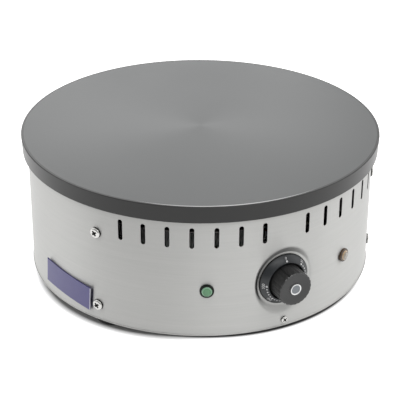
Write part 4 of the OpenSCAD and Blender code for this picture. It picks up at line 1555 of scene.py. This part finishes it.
@dataclass
class Nameplate:
    """The bent plate on its pad: a plain violet field, with bare metal at its two ends.

    Attributes:
        drum_r: radius of the drum.
        pad: thickness of the pad at the plate's middle.
        bend: radius that the plate is bent to.
        thick: its thickness.
        angle: angle of its middle round the drum.
        middle_z: height of its middle.
        turn: degrees that it is turned out of level, right end down.
        length: its length round the drum.
        height: its height.
        border: width of the bare metal at each end.
        corner: width of the rounded edge of its face.
        columns: faces along it.
        rows: faces up it.
    """

    drum_r: float = DRUM_R
    pad: float = 0.4 * MM
    bend: float = 310.0 * MM
    thick: float = 1.5 * MM
    angle: float = -74.9
    middle_z: float = 36.2 * MM
    turn: float = 4.4
    length: float = 75.0 * MM
    height: float = 28.0 * MM
    border: float = 0.8 * MM
    corner: float = 0.2 * MM
    columns: int = 40
    rows: int = 8

    def build(self) -> None:
        """Rules a flat plate, rounds its face's edge, colours it and bends it round the drum."""
        half_l, half_h = self.length / 2, self.height / 2
        piece = Bench.primitive("nameplate_face", bpy.ops.mesh.primitive_grid_add,
                                x_subdivisions=self.columns, y_subdivisions=self.rows, size=2.0)
        Bench.reshape(piece, lambda point: Vector((point.x * half_l, point.y * half_h, point.z)))
        Bench.coat(piece, FINISHES["nameplate_violet"], PLATE_EDGE, PLATE_RIM)
        rise = (0, 0, self.thick - self.corner)
        with Bench.editing(piece):
            bpy.ops.mesh.select_all(action="SELECT")
            bpy.ops.mesh.extrude_region_move(TRANSFORM_OT_translate={"value": rise})
            bpy.ops.mesh.inset(thickness=self.corner, depth=self.corner)
            bpy.ops.mesh.inset(thickness=self.border - self.corner, depth=0)
            bpy.ops.mesh.select_all(action="SELECT")
            bpy.ops.mesh.normals_make_consistent(inside=False)
        Bench.mask(piece, lambda face: 1 if abs(face.center.x) > half_l - self.border
                   else 2 * (abs(face.center.y) > half_h - self.corner))
        Bench.reshape(piece, self.bent)
        Bench.smooth(piece, degrees=25.0)
        Bench.finish(piece, "nameplate_violet", "nameplate")

    def bent(self, flat: Vector) -> Vector:
        """Where a point of the flat plate comes to lie on the drum.

        Args:
            flat: the point, with x along the plate, y up it and z out of it.

        Returns:
            The point's place on the drum.
        """
        round_it = flat.x / self.bend
        along = (self.bend + flat.z) * math.sin(round_it)
        out = self.drum_r + self.pad - self.bend + (self.bend + flat.z) * math.cos(round_it)
        lean = math.radians(self.turn)
        across = along * math.cos(lean) + flat.y * math.sin(lean)
        up = flat.y * math.cos(lean) - along * math.sin(lean)
        return polar(self.angle, out, self.middle_z + up) + polar(self.angle + 90, across, 0.0)


# ---------------------------------------------------------------- screws


@dataclass
class PanScrews:
    """Cross-recessed pan screws that stand on the drum, as one piece.

    Attributes:
        name: the piece's name.
        node: the CAD node that it stands for.
        places: angle and height of each screw.
        shank: radius and length of a shank.
        head_r: radius of a head.
        head_h: height of a head.
        recess: length of the cross, as a share of the head's width.
        drum_r: radius of the drum.
        cross: degrees that the cross is turned.
        point: chamfer at a shank's end.
        steps: faces from a head's side to its flat top.
    """

    name: str
    node: str
    places: list[tuple[float, float]]
    shank: tuple[float, float]
    head_r: float
    head_h: float
    recess: float
    drum_r: float = DRUM_R
    cross: float = 35.0
    point: float = 0.4 * MM
    steps: int = 8

    def build(self) -> None:
        """Makes one screw, stands a copy of it at each place and joins them."""
        first = self.screw()
        screws = [first] + [Bench.copy_of(first) for _ in self.places[1:]]
        for screw, (angle, height) in zip(screws, self.places):
            Bench.seat(screw, polar(angle, self.drum_r, height), polar(angle, 1.0, 0.0))
        Bench.join(screws)
        Bench.smooth(first, degrees=30.0)
        Bench.finish(first, "steel_screw", self.node)

    def screw(self) -> bpy.types.Object:
        """Turns a screw with a rounded head, cuts its cross and paints shade into the cross and round the
        head's lower side.

        Returns:
            The screw, standing on the origin with its head up Z.
        """
        r, h = self.head_r, self.head_h
        shank_r, shank_l = self.shank
        side, flat_r, flat_z = 0.42 * h, 0.5 * r, 0.93 * h
        turns = [math.pi / 2 * k / self.steps for k in range(self.steps + 1)]
        dome = [(flat_r + (r - flat_r) * math.cos(a), side + (flat_z - side) * math.sin(a)) for a in turns]
        profile = [(0.0, -shank_l), (shank_r - self.point, -shank_l), (shank_r, self.point - shank_l),
                   (shank_r, 0.0), (r, 0.0), *dome, (0.0, h)]
        screw = Bench.turned(self.name, profile, steps=48)
        Bench.coat(screw, FINISHES["steel_screw"], SCREW_SHADE)
        for turn in (self.cross, self.cross + 90):
            Bench.cut(screw, self.wing(turn), material_mode="TRANSFER")
        # The cross's faces and the lower side of the head take the near-black finish: painted shade.
        Bench.mask(screw, lambda face: face.material_index
                   or (0 < face.center.z < side and abs(face.normal.z) < 0.3))
        return screw

    def wing(self, turn: float) -> bpy.types.Object:
        """A blade that cuts one arm of the cross, narrower at its foot.

        Args:
            turn: degrees that it is turned.

        Returns:
            The blade.
        """
        r, h = self.head_r, self.head_h
        blade = Bench.primitive("wing", bpy.ops.mesh.primitive_cube_add, size=1.0, location=(0, 0, h * 0.75),
                                rotation=(0, 0, math.radians(turn)), scale=(r * 2 * self.recess, r * 0.42, h))
        Bench.reshape(blade, lambda at: at if at.z > 0 else Vector((at.x * 0.5, at.y * 0.7, at.z)))
        # The blade's near-black finish passes to the faces that it cuts: painted shade in the cross.
        Bench.coat(blade, SCREW_SHADE)
        return blade


# ---------------------------------------------------------------- finishes on the frame's own pieces


def dress_frame() -> None:
    """Gives every CAD piece that still shows its slot's finish; the sheets inside the drum get a dark sheet
    finish instead, which is painted shade.
    """
    # The sheets inside the drum are painted dark: painted shade.
    shaded_inside = ("heat_shield", "clamp_bars", "upright_left", "upright_right", "upright_rear")
    for part in frame["record"]["subparts"]:
        name = part["node"]
        node = frame["nodes"][name]
        node.data.materials.clear()
        Bench.coat(node, SHADED_SHEET if name in shaded_inside else FINISHES[part["material_slot"]])


# ---------------------------------------------------------------- studio


@dataclass(frozen=True)
class SoftBox:
    """A soft box that lights the object.

    Attributes:
        name: its name.
        place: where it hangs.
        width: its width.
        height: its height.
        watts: its power.
    """

    name: str
    place: Vector
    width: float
    height: float
    watts: float

    def lamp(self) -> bpy.types.AreaLight:
        """Makes the lamp itself.

        Returns:
            The lamp's data.
        """
        data = bpy.data.lights.new(self.name, "AREA")
        data.shape = "RECTANGLE"
        data.size = self.width
        data.size_y = self.height
        data.energy = self.watts
        return data


SOFT_BOXES = (
    SoftBox("top_box", Vector((0.3, 0.1, 1.7)), width=1.6, height=1.6, watts=10.0),
    SoftBox("right_box", Vector((1.4, -0.5, 0.85)), width=1.1, height=1.1, watts=3.0),
    SoftBox("left_box", Vector((-1.4, 0.8, 1.0)), width=1.2, height=1.2, watts=5.1),
    SoftBox("back_box", Vector((0.85, 1.9, 0.9)), width=1.1, height=1.1, watts=6.6),
    SoftBox("front_box", Vector((-0.1, -1.37, 1.37)), width=1.4, height=0.35, watts=4.5),
)


@dataclass
class Studio:
    """The floor, the lights and the camera.

    Attributes:
        azimuth: degrees that the camera stands round from the knob's side.
        elevation: degrees that it looks down.
        distance: metres from the camera to what it looks at.
        aim: the point that it looks at.
        lens: its focal length.
        sensor: width of its picture, in mm.
        roll: degrees that it is turned about its view.
        floor_w: width of the floor.
        core: disc under the object in which the floor's colour is darkest, painted shadow, as x, y, radius
            and soft width.
        shade: the same for a disc of paler painted shadow, which reaches further to the left.
        fill: strength of the light from all round.
        flag_r: distance of the flag from the object's axis.
        flag_h: its height.
        flag_at: angle of its middle from the knob's side.
        flag_w: degrees from its middle to an end.
        flag_dark: how much its middle hides.
    """

    azimuth: float = -27.62
    elevation: float = 27.29
    distance: float = 1.561
    aim: Vector = Vector((0.00007, 0.00004, 0.0711))
    lens: float = 121.7
    sensor: float = 36.0
    roll: float = 0.28
    floor_w: float = 12.0
    core: tuple[float, float, float, float] = (0.0080, -0.0042, 0.1787, 0.004)
    shade: tuple[float, float, float, float] = (-0.0295, -0.0052, 0.158, 0.01)
    fill: float = 0.3
    flag_r: float = 1.3
    flag_h: float = 1.0
    flag_at: float = -62.0
    flag_w: float = 78.0
    flag_dark: float = 0.6

    def build(self) -> None:
        """Sets the camera, the floor, the world and the lamps."""
        self.place_camera()
        self.lay_floor()
        self.stand_flag()
        self.light_world()
        self.hang_lamps()
        bpy.context.scene.view_settings.view_transform = "Standard"

    def place_camera(self) -> None:
        """Puts the camera at the view's angle."""
        data = bpy.data.cameras.new("camera")
        data.sensor_width = self.sensor
        data.lens = self.lens
        a, e = math.radians(self.azimuth), math.radians(self.elevation)
        back = Vector((math.sin(a) * math.cos(e), -math.cos(a) * math.cos(e), math.sin(e)))
        roll = Quaternion((0, 0, 1), math.radians(self.roll))
        bpy.context.scene.camera = self.hang("camera", data, self.aim + back * self.distance, roll)

    def hang(self, name: str, data: bpy.types.ID, place: Vector, roll: Quaternion) -> bpy.types.Object:
        """Hangs a camera or a lamp so that it looks at the object.

        Args:
            name: its name.
            data: the camera's or lamp's own data.
            place: where it hangs.
            roll: its turn about the line to the object.

        Returns:
            The new object.
        """
        item = bpy.data.objects.new(name, data)
        bpy.context.collection.objects.link(item)
        item.location = place
        item.rotation_mode = "QUATERNION"
        item.rotation_quaternion = (self.aim - place).to_track_quat("-Z", "Y") @ roll
        return item

    def lay_floor(self) -> None:
        """A wide pale floor that shows white and keeps the object's shadow, with painted shadow darkening its
        colour in two discs under the object.
        """
        floor = Bench.primitive("floor", bpy.ops.mesh.primitive_plane_add, size=self.floor_w)
        sheet = NodeSheet("floor_white")
        under, beside = self.outside(sheet, *self.core), self.outside(sheet, *self.shade)
        paler = sheet.blend(beside, (0.5, 0.5, 0.5), (0.8, 0.8, 0.8))
        sheet.set(
            # Painted shadow: the floor's colour is darker within the two discs.
            Base_Color=sheet.blend(under, (0.14, 0.14, 0.14), paler),
            Roughness=0.9,
            Specular_IOR_Level=0.0,
            Emission_Color=(1.0, 1.0, 1.0),
            Emission_Strength=sheet.times(sheet.seen(), sheet.times(under, beside)),
        )
        floor.data.materials.append(sheet.material)

    @staticmethod
    def outside(sheet: NodeSheet, x: float, y: float, radius: float, width: float) -> Socket:
        """0 within a disc on the floor and 1 outside it.

        Args:
            sheet: the floor's node sheet.
            x: the disc's middle along X.
            y: the disc's middle along Y.
            radius: the disc's radius.
            width: width over which the value grows.

        Returns:
            The value's output.
        """
        east, north, _ = sheet.axes()
        return sheet.ramp(sheet.hypot(sheet.less(east, x), sheet.less(north, y)), radius, width)

    def stand_flag(self) -> None:
        """A tall bent cloth beside the camera that only gloss shows: dark in its middle, thin at its ends."""
        cloth = Bench.primitive("flag", bpy.ops.mesh.primitive_cylinder_add, vertices=96, radius=self.flag_r,
                                depth=self.flag_h, end_fill_type="NOTHING", location=(0, 0, self.flag_h / 2))
        bpy.ops.object.transform_apply(location=True, rotation=True, scale=True)
        sheet = NodeSheet("flag_cloth")
        x, y, _ = sheet.axes()
        share = sheet.hump(sheet.bearing(x, y), self.flag_at, self.flag_w)
        sheet.set(Base_Color=(0.03, 0.03, 0.03), Roughness=1.0, Specular_IOR_Level=0.0,
                  Alpha=sheet.times(share, self.flag_dark))
        cloth.data.materials.append(sheet.material)
        cloth.visible_camera = False
        cloth.visible_diffuse = False
        cloth.visible_shadow = False
        cloth.visible_transmission = False

    def light_world(self) -> None:
        """An even grey light from all round, with a white background to look at."""
        world = bpy.data.worlds.new("studio")
        bpy.context.scene.world = world
        world.use_nodes = True
        world.node_tree.nodes.clear()
        wiring = Wiring(world.node_tree)
        mix = wiring.add("MixShader")
        wiring.wire(mix.inputs[0], wiring.seen())
        for socket, strength in zip(mix.inputs[1:], (self.fill, 1.0)):
            glow = wiring.add("Background")
            glow.inputs["Color"].default_value = (1.0, 1.0, 1.0, 1.0)
            glow.inputs["Strength"].default_value = strength
            wiring.wire(socket, glow.outputs[0])
        wiring.wire(wiring.add("OutputWorld").inputs["Surface"], mix.outputs[0])

    def hang_lamps(self) -> None:
        """Hangs the soft boxes: one above, one at each side, one behind and a long one in front."""
        for box in SOFT_BOXES:
            self.hang(box.name, box.lamp(), box.place, Quaternion())


def main() -> None:
    """Builds the studio and each sub-assembly in order."""
    logging.basicConfig(level=logging.INFO, format="%(message)s")
    Studio().build()
    dress_frame()
    Drum().build()
    Control().build()
    PilotLamp(Tint.GREEN, -LAMP_ANGLE).build()
    PilotLamp(Tint.AMBER, LAMP_ANGLE).build()
    Nameplate().build()
    PanScrews("drum_screw_set", "drum_screws", [(a, z) for a in UPRIGHTS for z in DRUM_SCREWS_Z],
              shank=(3 * MM, 9 * MM), head_r=6 * MM, head_h=3.4 * MM, recess=0.62).build()
    PanScrews("base_screw_set", "base_screws", [(a, BASE_SCREWS_Z) for a in (0, 120, 240)],
              shank=(2 * MM, 6.5 * MM), head_r=3.75 * MM, head_h=2.4 * MM, recess=0.8).build()


if __name__ == "__main__":
    main()
